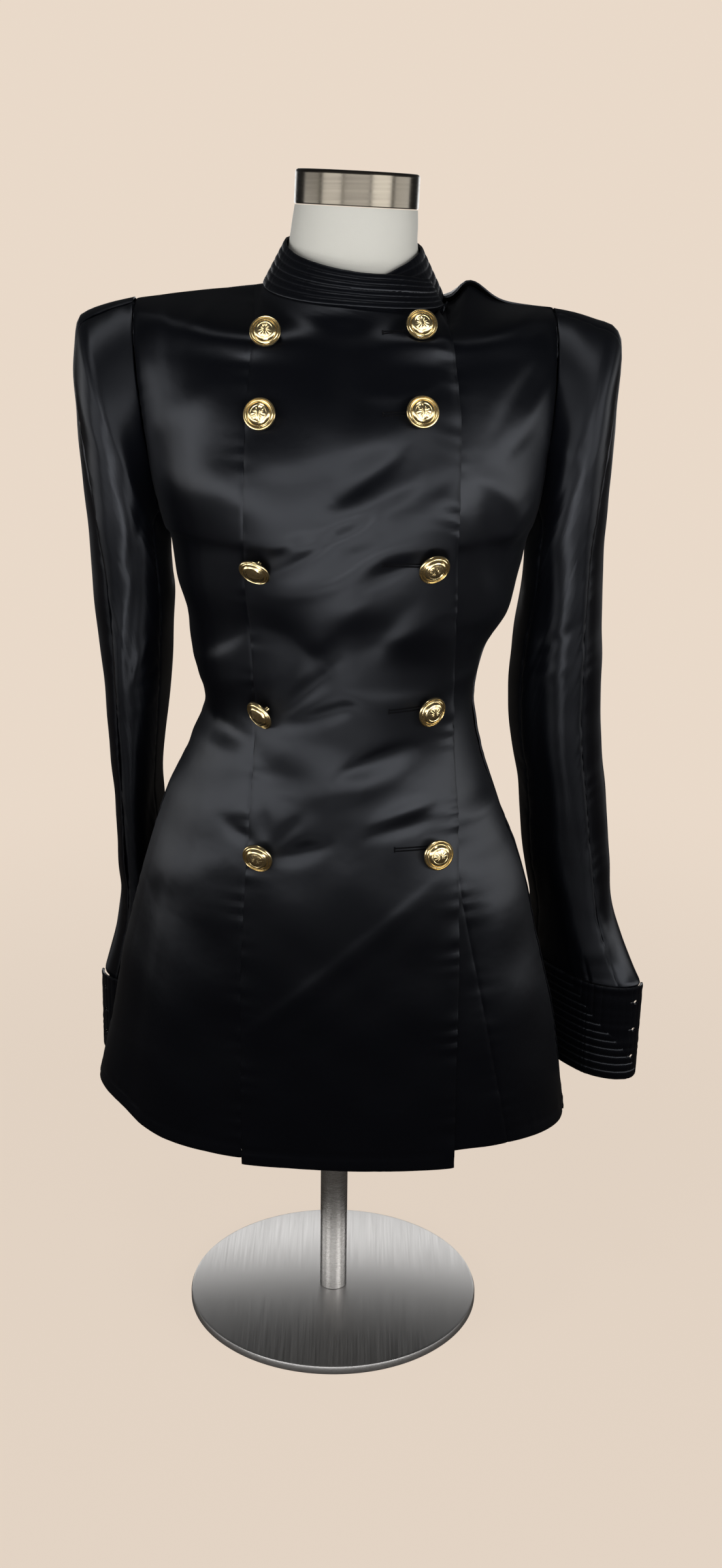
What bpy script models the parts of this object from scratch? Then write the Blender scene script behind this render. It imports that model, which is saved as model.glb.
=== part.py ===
"""A satin military jacket worn by a limbless dress form on a short stand.

Metres, +Z up. The front faces -Y, and +X is the viewer's right, which is the wearer's left.
The origin is the middle of the base plate's underside.
"""
import math
from collections import namedtuple

import bmesh
import bpy
import numpy as np
from mathutils import Matrix, Vector
from mathutils.bvhtree import BVHTree

# Cloth
WALL = 0.0016
QUILT_WALL = 0.0026
QUILT_SINK = 0.0009
SEAM_GAP = 0.0003
LAP_GAP = 0.0009
LAYER_DROP = WALL + LAP_GAP
NECK_EXTRA_DROP = 0.0016

# Neckline: an ellipse seen from above, at a height that changes round it
NECK_X = 0.0090
NECK_Y = -0.0040
NECK_HALF_WIDTH = 0.0735
NECK_FRONT = 0.0740
NECK_BACK = 0.0600
NECK_SPAN = 0.27
PLASTRON_SHOULDER = 0.03
LAP_TOP_ANGLE = 14

# Buttons
BUTTON_RADIUS = 0.0130
TOP_BUTTON_RADIUS = 0.0124
SHANK_RADIUS = 0.0024
SHANK_LENGTH = 0.0046
DROOP_SHANK_LENGTH = 0.0070

# Stand
POLE_RADIUS = 0.01215
BASE_RADIUS = 0.130
BASE_THICKNESS = 0.008
CAP_RADIUS = 0.0501
CAP_HEIGHT = 0.0275
CAP_TILT = math.radians(2.3)
CAP_BOTTOM = (0.0108, -0.004, 0.9733)

# Dress form: places across each ring, rows of the jacket with the form's distance inside them,
# its rounded foot as (scale, rise), and the rings of its neck
FORM_BOTTOM = 0.335
FORM_ACROSS = [-0.97, -0.86, -0.7, -0.5, -0.27, -0.18, -0.09, 0, 0.09, 0.18, 0.27, 0.5, 0.7, 0.86,
               0.97]
FIRST_NECK = 4
LAST_NECK = 10
FORM_CLEARANCE = [(3, 0.012), (4, 0.011), (5, 0.010), (6, 0.009), (7, 0.009), (8, 0.010),
                  (10, 0.010), (11, 0.010), (12, 0.009), (13, 0.009), (14, 0.009), (15, 0.010)]
FORM_FOOT = [(0.55, 0.0), (0.86, 0.012), (0.97, 0.040)]
RIDGE_DROP_RIGHT = 0.0030
RIDGE_DROP_LEFT = 0.0080
RIDGE_HALF = 0.002
FORM_NECK_DROP = 0.0085
FORM_NECK_INSET = 0.11
FORM_NECK_SIDES = 24
NeckRing = namedtuple("NeckRing", "half_width front back z x")
FORM_NECK = [
    NeckRing(0.0625, 0.0590, 0.0510, 0.914, 0.0090),
    NeckRing(0.0545, 0.0530, 0.0480, 0.932, 0.0090),
    NeckRing(0.0516, 0.0505, 0.0455, 0.947, 0.0090),
    NeckRing(0.0507, 0.0500, 0.0460, 0.960, 0.0100),
    NeckRing(0.0497, 0.0497, 0.0497, 0.973, 0.0108),
]

SATIN = ("satin", (0.012, 0.012, 0.014), 0.36, 0.0)
GOLD = ("gold", (0.80, 0.58, 0.24), 0.24, 1.0)
FORM_SKIN = ("form_skin", (0.86, 0.85, 0.83), 0.62, 0.0)
STEEL = ("steel", (0.62, 0.61, 0.60), 0.34, 1.0)

# The body, from hem to shoulder. Rows up to the armpit are level rings. Rows above it start
# and end on the armholes, at an angle round each armhole, 180 at the armpit and 0 at the top.
# 'turn' is how sharply the ring turns at its sides: 0.5 for an ellipse, 1 for an open arc.
Ring = namedtuple("Ring", "name z x_left x_right y_side y_front y_back turn "
                          "plastron_seam lap_edge left_seam")
RINGS = [
    Ring("hem",        0.200, -0.2065, 0.2015, -0.030, -0.1320, 0.1250, 0.50, -0.0760, 0.1023, 0.1480),
    Ring("skirt low",  0.285, -0.1945, 0.1905, -0.030, -0.1310, 0.1220, 0.50, -0.0765, 0.1023, 0.1320),
    Ring("skirt mid",  0.360, -0.1808, 0.1735, -0.028, -0.1290, 0.1180, 0.50, -0.0767, 0.1030, 0.1180),
    Ring("hip",        0.430, -0.1635, 0.1568, -0.024, -0.1250, 0.1110, 0.50, -0.0735, 0.1016, 0.1040),
    Ring("high hip",   0.490, -0.1450, 0.1335, -0.018, -0.1190, 0.0980, 0.50, -0.0701, 0.1005, 0.0940),
    Ring("low waist",  0.535, -0.1240, 0.1198, -0.012, -0.1140, 0.0800, 0.50, -0.0677, 0.0977, 0.0880),
    Ring("waist",      0.573, -0.1130, 0.1152, -0.008, -0.1125, 0.0690, 0.50, -0.0662, 0.0961, 0.0850),
    Ring("low ribs",   0.612, -0.1243, 0.1225, -0.006, -0.1140, 0.0720, 0.50, -0.0677, 0.0953, 0.0850),
    Ring("ribs",       0.645, -0.1275, 0.1410, -0.004, -0.1180, 0.0840, 0.50, -0.0705, 0.0950, 0.0860),
    Ring("under bust", 0.672, -0.1356, 0.1485, -0.002, -0.1225, 0.0940, 0.50, -0.0728, 0.0947, 0.0870),
    Ring("armpit",     0.706, -0.1415, 0.1560,  0.000, -0.1260, 0.1010, 0.52, -0.0738, 0.0944, 0.0880),
]
Arc = namedtuple("Arc", "name armhole_angle z_front z_back y_front y_back turn "
                        "plastron_seam lap_edge left_seam")
ARCS = [
    Arc("low armhole", 150, 0.723, 0.724, -0.1255, 0.1030, 0.58, -0.0738, 0.0944, 0.0880),
    Arc("bust",        118, 0.757, 0.760, -0.1225, 0.1055, 0.66, -0.0735, 0.0947, 0.0880),
    Arc("chest",        85, 0.806, 0.812, -0.1150, 0.1030, 0.74, -0.0732, 0.0949, 0.0880),
    Arc("yoke",         54, 0.850, 0.866, -0.1000, 0.0920, 0.80, -0.0705, 0.0905, 0.0860),
    Arc("high yoke",    27, 0.878, 0.900, -0.0885, 0.0770, 0.88, -0.0675, 0.0860, 0.0840),
]
UNDERLAP_EDGE = -0.060
UNDERLAP_NECK = -0.048
# How far each hem rises above its ring, by x
SIDE_HEM = [(-0.2065, 0.0310), (-0.1960, 0.0280), (-0.1800, 0.0220), (-0.1650, 0.0130),
            (-0.1450, 0.0060), (-0.1180, 0.0020), (-0.0760, 0.0), (0.0, 0.0)]
BACK_HEM = [(-0.2065, 0.0310), (-0.1600, 0.0160), (-0.1000, 0.0), (0.0, 0.0)]
PLASTRON_HEM = [(-0.0760, -0.0060), (0.0200, -0.0080), (0.1023, -0.0115)]
LEFT_HEM = [(-0.0700, 0.0030), (0.1480, 0.0030), (0.2015, 0.0)]
# A fold of spare cloth standing on the wearer's left shoulder seam
SHOULDER_FOLD_X = 0.104
SHOULDER_FOLD_WIDTH = 0.017
SHOULDER_FOLD_HEIGHT = 0.015
BUST_FULLNESS = 0.0085
BUST_POINTS = ((-0.078, 0.735), (0.092, 0.735))
BUST_SPREAD = 0.048
LAST_ROW = len(RINGS) + len(ARCS)
HIP_ROW = 3

# Heights of the neckline and of the collar's top edge, by angle seen from above:
# 0 is the viewer's right, 90 the back, 180 the viewer's left, 270 the front.
NECKLINE_HEIGHT = [(0, 0.9030), (30, 0.9140), (60, 0.9210), (90, 0.9230), (120, 0.9220),
                   (150, 0.9180), (180, 0.9125), (210, 0.9060), (240, 0.9005), (270, 0.8975),
                   (300, 0.8945), (330, 0.8930), (345, 0.8950), (360, 0.9030)]
COLLAR_START = -75
COLLAR_END = 342
COLLAR_TOP_HEIGHT = [(-75, 0.9190), (-45, 0.9290), (-15, 0.9385), (0, 0.9425), (45, 0.9500),
                     (90, 0.9530), (135, 0.9510), (180, 0.9477), (225, 0.9345), (270, 0.9250),
                     (306, 0.9220), (342, 0.9180)]
COLLAR_TOP_HALF_WIDTH = 0.0553
COLLAR_TOP_FRONT = 0.0630
COLLAR_TOP_BACK = 0.0500
COLLAR_LAP_OUT = 0.0040
COLLAR_LAP_RISE = 0.0034
COLLAR_CHANNELS = 6
CUFF_CHANNELS = 12

# Armholes and sleeves. Each ring goes from an outer point (x_out, z_out, y_out) through the
# front to an inner point (x_in, z_in, y_in) and back. 'square' is the superellipse power.
Sleeve = namedtuple("Sleeve", "x_out z_out y_out x_in z_in y_in y_front y_back square bow "
                              "outer_seam inner_seam")
RIGHT_SLEEVE = [
    Sleeve(-0.1680, 0.8998, 0.000, -0.1415, 0.7060, 0.000, -0.047, 0.052, 2.0, 0.004, 15, 140),
    Sleeve(-0.1880, 0.8950, 0.000, -0.1424, 0.7032, 0.000, -0.054, 0.058, 2.1, 0.003, 18, 140),
    Sleeve(-0.2040, 0.8895, 0.000, -0.1428, 0.7010, 0.000, -0.060, 0.064, 2.2, 0.002, 20, 140),
    Sleeve(-0.2130, 0.8835, 0.000, -0.1430, 0.6990, 0.000, -0.063, 0.067, 2.3, 0.001, 21, 140),
    Sleeve(-0.2165, 0.8680, 0.000, -0.1430, 0.6965, 0.000, -0.064, 0.069, 2.3, 0.000, 23, 140),
    Sleeve(-0.2188, 0.8390, 0.000, -0.1430, 0.6930, 0.000, -0.065, 0.072, 2.3, 0.000, 30, 140),
    Sleeve(-0.2162, 0.8050, 0.000, -0.1430, 0.6890, 0.000, -0.065, 0.074, 2.3, 0.000, 42, 140),
    Sleeve(-0.2120, 0.7550, 0.000, -0.1427, 0.6830, 0.000, -0.063, 0.076, 2.3, 0.000, 55, 140),
    Sleeve(-0.2088, 0.7000, 0.002, -0.1414, 0.6680, 0.004, -0.058, 0.080, 2.2, 0.000, 62, 140),
    Sleeve(-0.2064, 0.6550, 0.008, -0.1404, 0.6480, 0.012, -0.052, 0.084, 2.2, 0.000, 64, 140),
    Sleeve(-0.2020, 0.5970, 0.012, -0.1440, 0.5970, 0.020, -0.043, 0.088, 2.2, 0.000, 64, 142),
    Sleeve(-0.1984, 0.5380, 0.018, -0.1505, 0.5380, 0.033, -0.030, 0.093, 2.1, 0.000, 62, 145),
    Sleeve(-0.1964, 0.4740, 0.030, -0.1570, 0.4740, 0.048, -0.012, 0.102, 2.0, 0.000, 60, 148),
    Sleeve(-0.1964, 0.4060, 0.050, -0.1550, 0.4060, 0.070, 0.010, 0.118, 2.0, 0.000, 58, 150),
    Sleeve(-0.1960, 0.3730, 0.058, -0.1530, 0.3730, 0.080, 0.022, 0.128, 1.9, 0.000, 56, 150),
    Sleeve(-0.2006, 0.3400, 0.065, -0.1500, 0.3400, 0.090, 0.032, 0.135, 1.8, 0.000, 54, 150),
    Sleeve(-0.2055, 0.3060, 0.070, -0.1500, 0.3080, 0.098, 0.038, 0.142, 1.7, 0.000, 52, 150),
    Sleeve(-0.2085, 0.2850, 0.074, -0.1500, 0.2880, 0.104, 0.042, 0.146, 1.6, 0.000, 50, 150),
]
RIGHT_CUFF_TOP = Sleeve(-0.2155, 0.2846, 0.072, -0.1500, 0.2876, 0.104, 0.042, 0.146, 1.6, 0.0, 0, 0)
RIGHT_CUFF_HEM = Sleeve(-0.2155, 0.2100, 0.074, -0.1500, 0.2100, 0.116, 0.050, 0.150, 1.6, 0.0, 0, 0)
LEFT_SLEEVE = [
    Sleeve(0.1720, 0.8950, 0.000, 0.1560, 0.7120, 0.000, -0.047, 0.052, 2.0, 0.006, 15, 140),
    Sleeve(0.1910, 0.8915, 0.000, 0.1566, 0.7092, 0.000, -0.054, 0.058, 2.1, 0.004, 18, 140),
    Sleeve(0.2085, 0.8862, 0.000, 0.1569, 0.7070, 0.000, -0.060, 0.064, 2.2, 0.002, 20, 140),
    Sleeve(0.2215, 0.8815, 0.000, 0.1571, 0.7050, 0.000, -0.063, 0.067, 2.3, 0.001, 21, 140),
    Sleeve(0.2280, 0.8695, 0.000, 0.1571, 0.7025, 0.000, -0.064, 0.069, 2.3, 0.000, 23, 140),
    Sleeve(0.2280, 0.8410, 0.000, 0.1570, 0.6995, 0.000, -0.065, 0.072, 2.3, 0.000, 30, 140),
    Sleeve(0.2262, 0.8130, 0.000, 0.1567, 0.6955, 0.000, -0.065, 0.074, 2.3, 0.000, 42, 140),
    Sleeve(0.2236, 0.7700, 0.000, 0.1563, 0.6895, 0.000, -0.063, 0.076, 2.3, 0.000, 55, 140),
    Sleeve(0.2210, 0.7180, 0.002, 0.1557, 0.6760, 0.004, -0.058, 0.080, 2.2, 0.000, 62, 140),
    Sleeve(0.2218, 0.6610, 0.008, 0.1545, 0.6580, 0.010, -0.052, 0.084, 2.2, 0.000, 64, 140),
    Sleeve(0.2242, 0.6030, 0.012, 0.1482, 0.6080, 0.020, -0.045, 0.086, 2.2, 0.000, 64, 142),
    Sleeve(0.2266, 0.5430, 0.018, 0.1480, 0.5450, 0.030, -0.036, 0.088, 2.1, 0.000, 64, 145),
    Sleeve(0.2331, 0.4820, 0.022, 0.1590, 0.4800, 0.040, -0.026, 0.092, 2.0, 0.000, 62, 148),
    Sleeve(0.2400, 0.4200, 0.026, 0.1655, 0.4200, 0.050, -0.016, 0.096, 2.0, 0.000, 60, 150),
    Sleeve(0.2448, 0.3757, 0.024, 0.1735, 0.3760, 0.056, -0.012, 0.100, 1.9, 0.000, 58, 150),
    Sleeve(0.2530, 0.3480, 0.018, 0.1745, 0.3500, 0.062, -0.010, 0.104, 1.8, 0.000, 56, 150),
    Sleeve(0.2620, 0.3250, 0.008, 0.1750, 0.3300, 0.066, -0.009, 0.106, 1.7, 0.000, 54, 150),
    Sleeve(0.2692, 0.3095, -0.002, 0.1750, 0.3140, 0.066, -0.010, 0.108, 1.6, 0.000, 52, 150),
]
LEFT_CUFF_TOP = Sleeve(0.2698, 0.3084, -0.002, 0.1750, 0.3130, 0.066, -0.010, 0.108, 1.6, 0.0, 0, 0)
LEFT_CUFF_HEM = Sleeve(0.2667, 0.2225, -0.002, 0.1760, 0.2280, 0.074, -0.008, 0.112, 1.6, 0.0, 0, 0)
CUFF_VENT_ANGLE = 322
CUFF_FLAP_ANGLE = 4
CUFF_MITRE_END = 118

# Buttons: column, row, x, z of the middle, radius, droop and sideways turn in degrees
Button = namedtuple("Button", "name x z radius droop turn")
BUTTONS = [
    Button("button_L1", -0.0569, 0.8770, TOP_BUTTON_RADIUS, 22, 0),
    Button("button_L2", -0.0600, 0.8160, BUTTON_RADIUS, 0, 0),
    Button("button_L3", -0.0615, 0.6972, BUTTON_RADIUS, 30, 2),
    Button("button_L4", -0.0580, 0.5771, BUTTON_RADIUS, 23, -14),
    Button("button_L5", -0.0611, 0.4612, BUTTON_RADIUS, 25, -10),
    Button("button_R1", 0.0636, 0.8830, TOP_BUTTON_RADIUS, 30, 0),
    Button("button_R2", 0.0630, 0.8190, BUTTON_RADIUS, 0, 0),
    Button("button_R3", 0.0723, 0.7017, BUTTON_RADIUS, 14, 2),
    Button("button_R4", 0.0764, 0.5803, BUTTON_RADIUS, 12, 2),
    Button("button_R5", 0.0836, 0.4644, BUTTON_RADIUS, 12, 0),
]

# The largest folds, as soft ridges (+) and troughs (-) on the fronts: x and z of both ends,
# half width and height
Fold = namedtuple("Fold", "x0 z0 x1 z1 width height")
FOLDS = [
    Fold(-0.030, 0.700, 0.030, 0.745, 0.024, -0.0022),
    Fold(-0.030, 0.650, 0.030, 0.695, 0.022, 0.0016),
    Fold(-0.030, 0.575, 0.040, 0.610, 0.022, -0.0020),
    Fold(-0.030, 0.455, 0.045, 0.500, 0.024, -0.0020),
    Fold(-0.055, 0.325, 0.060, 0.420, 0.026, -0.0018),
    Fold(-0.140, 0.215, -0.125, 0.360, 0.026, 0.0030),
    Fold(0.132, 0.215, 0.122, 0.350, 0.024, 0.0024),
]


def clear_scene():
    for obj in list(bpy.data.objects):
        bpy.data.objects.remove(obj, do_unlink=True)


def make_material(spec):
    name, color, roughness, metallic = spec
    material = bpy.data.materials.new(name)
    material.use_nodes = True
    shader = material.node_tree.nodes["Principled BSDF"]
    shader.inputs["Base Color"].default_value = (*color, 1.0)
    shader.inputs["Roughness"].default_value = roughness
    shader.inputs["Metallic"].default_value = metallic
    return material


def add_object(name, mesh_edit, material):
    """Turns a finished bmesh into a named object with its material."""
    bmesh.ops.recalc_face_normals(mesh_edit, faces=mesh_edit.faces)
    mesh = bpy.data.meshes.new(name)
    mesh_edit.to_mesh(mesh)
    mesh_edit.free()
    mesh.shade_smooth()
    mesh.set_sharp_from_angle(angle=math.radians(40))
    mesh.materials.append(material)
    obj = bpy.data.objects.new(name, mesh)
    bpy.context.scene.collection.objects.link(obj)
    return obj


def spline(values, t):
    """A smooth curve through a list of numbers or points, read at the place t."""
    last = len(values) - 1
    i = min(int(t), last - 1)
    f = t - i
    p0, p1 = values[max(i - 1, 0)], values[i]
    p2, p3 = values[i + 1], values[min(i + 2, last)]
    return 0.5 * (2 * p1 + (p2 - p0) * f + (2 * p0 - 5 * p1 + 4 * p2 - p3) * f ** 2
                  + (3 * p1 - p0 - 3 * p2 + p3) * f ** 3)


def height_at(table, place):
    """Reads a table of (place, height) smoothly between its rows."""
    places = [row[0] for row in table]
    place = min(max(place, places[0]), places[-1])
    i = int(np.searchsorted(places, place, side="right")) - 1
    i = min(i, len(table) - 2)
    t = i + (place - places[i]) / (places[i + 1] - places[i])
    return spline([row[1] for row in table], t)


def neckline_point(angle):
    a = math.radians(angle)
    depth = NECK_FRONT if math.sin(a) < 0 else NECK_BACK
    return np.array((NECK_X + NECK_HALF_WIDTH * math.cos(a), NECK_Y + depth * math.sin(a),
                     height_at(NECKLINE_HEIGHT, angle % 360)))


def sleeve_ring_point(ring, angle):
    """A point of a sleeve ring: 0 is its outer point, 90 the front, 180 the inner point."""
    a = math.radians(angle)
    cos_a, sin_a = math.cos(a), math.sin(a)
    across = math.copysign(abs(cos_a) ** (2 / ring.square), cos_a)
    along = math.copysign(abs(sin_a) ** (2 / ring.square), sin_a)
    outer = np.array((ring.x_out, ring.y_out, ring.z_out))
    inner = np.array((ring.x_in, ring.y_in, ring.z_in))
    point = (outer + inner) / 2 + (outer - inner) / 2 * across
    middle_y = (ring.y_out + ring.y_in) / 2
    depth = ring.y_front - middle_y if along > 0 else middle_y - ring.y_back
    point[1] += depth * along
    point[0] += math.copysign(ring.bow, ring.x_out) * abs(sin_a)
    return point


def section(left, right, y_front, z_front, turn, c):
    """A curve across the body: c goes from -1 at the left point to 1 at the right one."""
    share = (c + 1) / 2
    side = left * (1 - share) + right * share
    bulge = (1 - abs(c) ** 2) ** turn
    return np.array((side[0], side[1] + (y_front - side[1]) * bulge,
                     side[2] + (z_front - side[2]) * (1 - c * c)))


def bust_fullness(x, z):
    return sum(BUST_FULLNESS * math.exp(-((x - bx) / BUST_SPREAD) ** 2 - ((z - bz) / BUST_SPREAD) ** 2)
               for bx, bz in BUST_POINTS)


def row_sides(row, front):
    """The left and right end points of one row of the body, and its middle."""
    if row < len(RINGS):
        ring = RINGS[row]
        left = np.array((ring.x_left, ring.y_side, ring.z))
        right = np.array((ring.x_right, ring.y_side, ring.z))
        return left, right, ring.y_front if front else ring.y_back, ring.z, ring.turn
    arc = ARCS[row - len(RINGS)]
    angle = arc.armhole_angle if front else 360 - arc.armhole_angle
    left = sleeve_ring_point(RIGHT_SLEEVE[0], angle)
    right = sleeve_ring_point(LEFT_SLEEVE[0], angle)
    if front:
        return left, right, arc.y_front, arc.z_front, arc.turn
    return left, right, arc.y_back, arc.z_back, arc.turn


def shoulder_fold(x):
    return SHOULDER_FOLD_HEIGHT * math.exp(-((x - SHOULDER_FOLD_X) / SHOULDER_FOLD_WIDTH) ** 2)


def top_row_point(u, front):
    """The shoulder seams and the neckline, as the last row of the body."""
    if abs(u) <= NECK_SPAN:
        quarter = 90 * u / NECK_SPAN
        return neckline_point(270 + quarter if front else 90 - quarter)
    neck = neckline_point(180 if u < 0 else 0)
    tip = sleeve_ring_point((RIGHT_SLEEVE if u < 0 else LEFT_SLEEVE)[0], 0)
    neck_share = math.sin(math.pi / 2 * NECK_SPAN)
    share = (math.sin(math.pi / 2 * abs(u)) - neck_share) / (1 - neck_share)
    point = neck + (tip - neck) * share
    point[2] += shoulder_fold(point[0]) * smooth_share(share, 0, 0.2)
    return point


def row_point(row, u, front):
    if row == LAST_ROW:
        return top_row_point(u, front)
    left, right, y_middle, z_middle, turn = row_sides(row, front)
    point = section(left, right, y_middle, z_middle, turn, math.sin(math.pi / 2 * u))
    if front:
        point[1] -= bust_fullness(point[0], point[2])
    return point


def body_point(u, v, front):
    """The outer surface of the body: u from -1 to 1 across, v from 0 at the hem to LAST_ROW."""
    i = min(int(v), LAST_ROW - 1)
    rows = [min(max(r, 0), LAST_ROW) for r in (i - 1, i, i + 1, i + 2)]
    points = [row_point(r, u, front) for r in rows]
    f = v - i
    return 0.5 * (2 * points[1] + (points[2] - points[0]) * f
                  + (2 * points[0] - 5 * points[1] + 4 * points[2] - points[3]) * f ** 2
                  + (3 * points[1] - points[0] - 3 * points[2] + points[3]) * f ** 3)


def surface_normal(surface, a, b, step_a, step_b, a_limits, b_limits):
    """The normal of a surface, from two short steps along it."""
    a0, a1 = max(a - step_a, a_limits[0]), min(a + step_a, a_limits[1])
    b0, b1 = max(b - step_b, b_limits[0]), min(b + step_b, b_limits[1])
    along_a = surface(a1, b) - surface(a0, b)
    along_b = surface(a, b1) - surface(a, b0)
    normal = np.cross(along_a, along_b)
    return normal / np.linalg.norm(normal)


def sheet_normal(u, v, front):
    normal = surface_normal(lambda a, b: body_point(a, b, front), u, v, 0.03, 0.12,
                            (-1, 1), (0, LAST_ROW))
    return normal if front else -normal


def body_normal(u, v, front):
    """Front and back share one normal along the side and shoulder seams."""
    on_side_seam = abs(u) > 0.999 and v <= len(RINGS) - 1
    on_shoulder_seam = abs(u) >= NECK_SPAN and v > LAST_ROW - 0.001
    normal = sheet_normal(u, v, front)
    if on_side_seam or on_shoulder_seam:
        normal = normal + sheet_normal(u, v, not front)
    return normal / np.linalg.norm(normal)


def fold_height(x, z):
    """The sum of the soft ridges and troughs at a place on the fronts."""
    total = 0.0
    for fold in FOLDS:
        dx, dz = fold.x1 - fold.x0, fold.z1 - fold.z0
        length = math.hypot(dx, dz)
        along = ((x - fold.x0) * dx + (z - fold.z0) * dz) / length
        across = ((x - fold.x0) * -dz + (z - fold.z0) * dx) / length
        past_end = max(-along, along - length, 0.0)
        total += fold.height * math.exp(-(across / fold.width) ** 2 - (past_end / fold.width) ** 2)
    return total


def u_of_x(x, row):
    """The place across a row of the front that has this x."""
    if row == LAST_ROW:
        share = min(max((x - NECK_X) / NECK_HALF_WIDTH, -1), 1)
        return NECK_SPAN * math.asin(share) / (math.pi / 2)
    left, right = row_sides(row, True)[:2]
    share = (x - (left[0] + right[0]) / 2) / ((right[0] - left[0]) / 2)
    return math.asin(share) / (math.pi / 2)


def seam_line(name, top_x):
    """The u of a seam at each row, from its x in the tables."""
    xs = [getattr(row, name) for row in RINGS + ARCS] + [top_x]
    return [u_of_x(x, row) for row, x in enumerate(xs)]


def straight_line(u):
    return [u] * (LAST_ROW + 1)


def rows_for_body():
    """Rows of a panel, closer together where the body turns fast."""
    rows = [0, 0.8, 1.6, 2.4, 3.2, 4, 5, 5.5, 6, 6.5, 7.2, 8, 9, 10, 10.6, 11.3]
    return rows + [12, 12.7, 13.4, 14, 14.6, 15.3, 16]


def wall(name, outer, inner, material, inner_rows=None):
    """Closes an outer and an inner grid of points into one wall.

    inner_rows keeps only some rows of the inner grid, for a plain inside under quilting."""
    mesh_edit = bmesh.new()
    rows, cols = len(outer), len(outer[0])
    kept = inner_rows or list(range(rows))
    out = [[mesh_edit.verts.new(p) for p in line] for line in outer]
    ins = [[mesh_edit.verts.new(p) for p in inner[r]] for r in kept]
    for r in range(rows - 1):
        for c in range(cols - 1):
            mesh_edit.faces.new((out[r][c], out[r][c + 1], out[r + 1][c + 1], out[r + 1][c]))
    for r in range(len(kept) - 1):
        for c in range(cols - 1):
            mesh_edit.faces.new((ins[r][c], ins[r + 1][c], ins[r + 1][c + 1], ins[r][c + 1]))
    for c in range(cols - 1):
        mesh_edit.faces.new((out[0][c], ins[0][c], ins[0][c + 1], out[0][c + 1]))
        mesh_edit.faces.new((out[-1][c], out[-1][c + 1], ins[-1][c + 1], ins[-1][c]))
    for r, (low, high) in enumerate(zip(kept, kept[1:])):
        for c, turn in ((0, 1), (cols - 1, -1)):
            rim = [out[k][c] for k in range(low, high + 1)] + [ins[r + 1][c], ins[r][c]]
            mesh_edit.faces.new(rim[::turn])
    bmesh.ops.triangulate(mesh_edit, faces=mesh_edit.faces, ngon_method="EAR_CLIP")
    return add_object(name, mesh_edit, material)


def pull_in(grid, distance):
    """Moves the outermost points of a grid in along it, to leave the seam gap."""
    grid = np.array(grid)

    def shifted(edge, neighbour):
        step = neighbour - edge
        return edge + step / np.linalg.norm(step, axis=-1, keepdims=True) * distance

    grid[0], grid[-1] = shifted(grid[0], grid[1]), shifted(grid[-1], grid[-2])
    grid[:, 0], grid[:, -1] = shifted(grid[:, 0], grid[:, 1]), shifted(grid[:, -1], grid[:, -2])
    return grid


def body_panel(name, left, right, columns, front, material, hem=None, depth=None):
    """One cut panel between two seam lines. columns are shares of the way across."""
    outer, inner = [], []
    for v in rows_for_body():
        u0, u1 = spline(left, v), spline(right, v)
        out_line, in_line = [], []
        for share in columns:
            u = u0 + (u1 - u0) * share
            point = body_point(u, v, front)
            normal = body_normal(u, v, front)
            lift = -(depth(point[0], point[2]) if depth else 0.0)
            if front:
                lift += fold_height(point[0], point[2])
            point = point + normal * lift
            if hem:
                point[2] += height_at(hem, point[0]) * max(0.0, 1 - v)
            out_line.append(point)
            in_line.append(point - normal * WALL)
        outer.append(out_line)
        inner.append(in_line)
    return wall(name, pull_in(outer, SEAM_GAP / 2), pull_in(inner, SEAM_GAP / 2), material)


def even(count):
    return [i / count for i in range(count + 1)]


def smooth_share(value, start, stop):
    share = min(max((value - start) / (stop - start), 0.0), 1.0)
    return share * share * (3 - 2 * share)


def under_layer_depth(x, z):
    """How far the wearer's left front lies under the surface, a little deeper at the neck."""
    depth = LAYER_DROP + NECK_EXTRA_DROP * smooth_share(z, 0.855, 0.890)
    return depth * (1 - smooth_share(x, 0.107, 0.140))


def make_fronts(material):
    plastron_seam = seam_line("plastron_seam", NECK_X - NECK_HALF_WIDTH)
    plastron_seam[-1] -= PLASTRON_SHOULDER
    lap_edge = seam_line("lap_edge", NECK_X + NECK_HALF_WIDTH * math.cos(math.radians(LAP_TOP_ANGLE)))
    left_seam = seam_line("left_seam", NECK_X + NECK_HALF_WIDTH)
    underlap = [u_of_x(UNDERLAP_EDGE, row) for row in range(LAST_ROW)]
    underlap.append(u_of_x(UNDERLAP_NECK, LAST_ROW))
    neck_corner = PLASTRON_SHOULDER / (lap_edge[-1] - plastron_seam[-1])
    columns = [0] + [neck_corner + (1 - neck_corner) * share for share in even(10)]
    body_panel("front_plastron", plastron_seam, lap_edge, columns, True, material, PLASTRON_HEM)
    body_panel("right_side_front", straight_line(-1), plastron_seam, even(7), True, material, SIDE_HEM)
    body_panel("left_centre_front", underlap, left_seam, even(8), True, material, LEFT_HEM,
               under_layer_depth)
    body_panel("left_side_front", left_seam, straight_line(1), even(7), True, material, LEFT_HEM,
               under_layer_depth)


def make_backs(material):
    columns = [i / 3 * NECK_SPAN for i in range(3)]
    columns += [NECK_SPAN + (1 - NECK_SPAN) * i / 6 for i in range(7)]
    body_panel("right_back", straight_line(0), straight_line(-1), columns, False, material, BACK_HEM)
    body_panel("left_back", straight_line(0), straight_line(1), columns, False, material)


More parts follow.
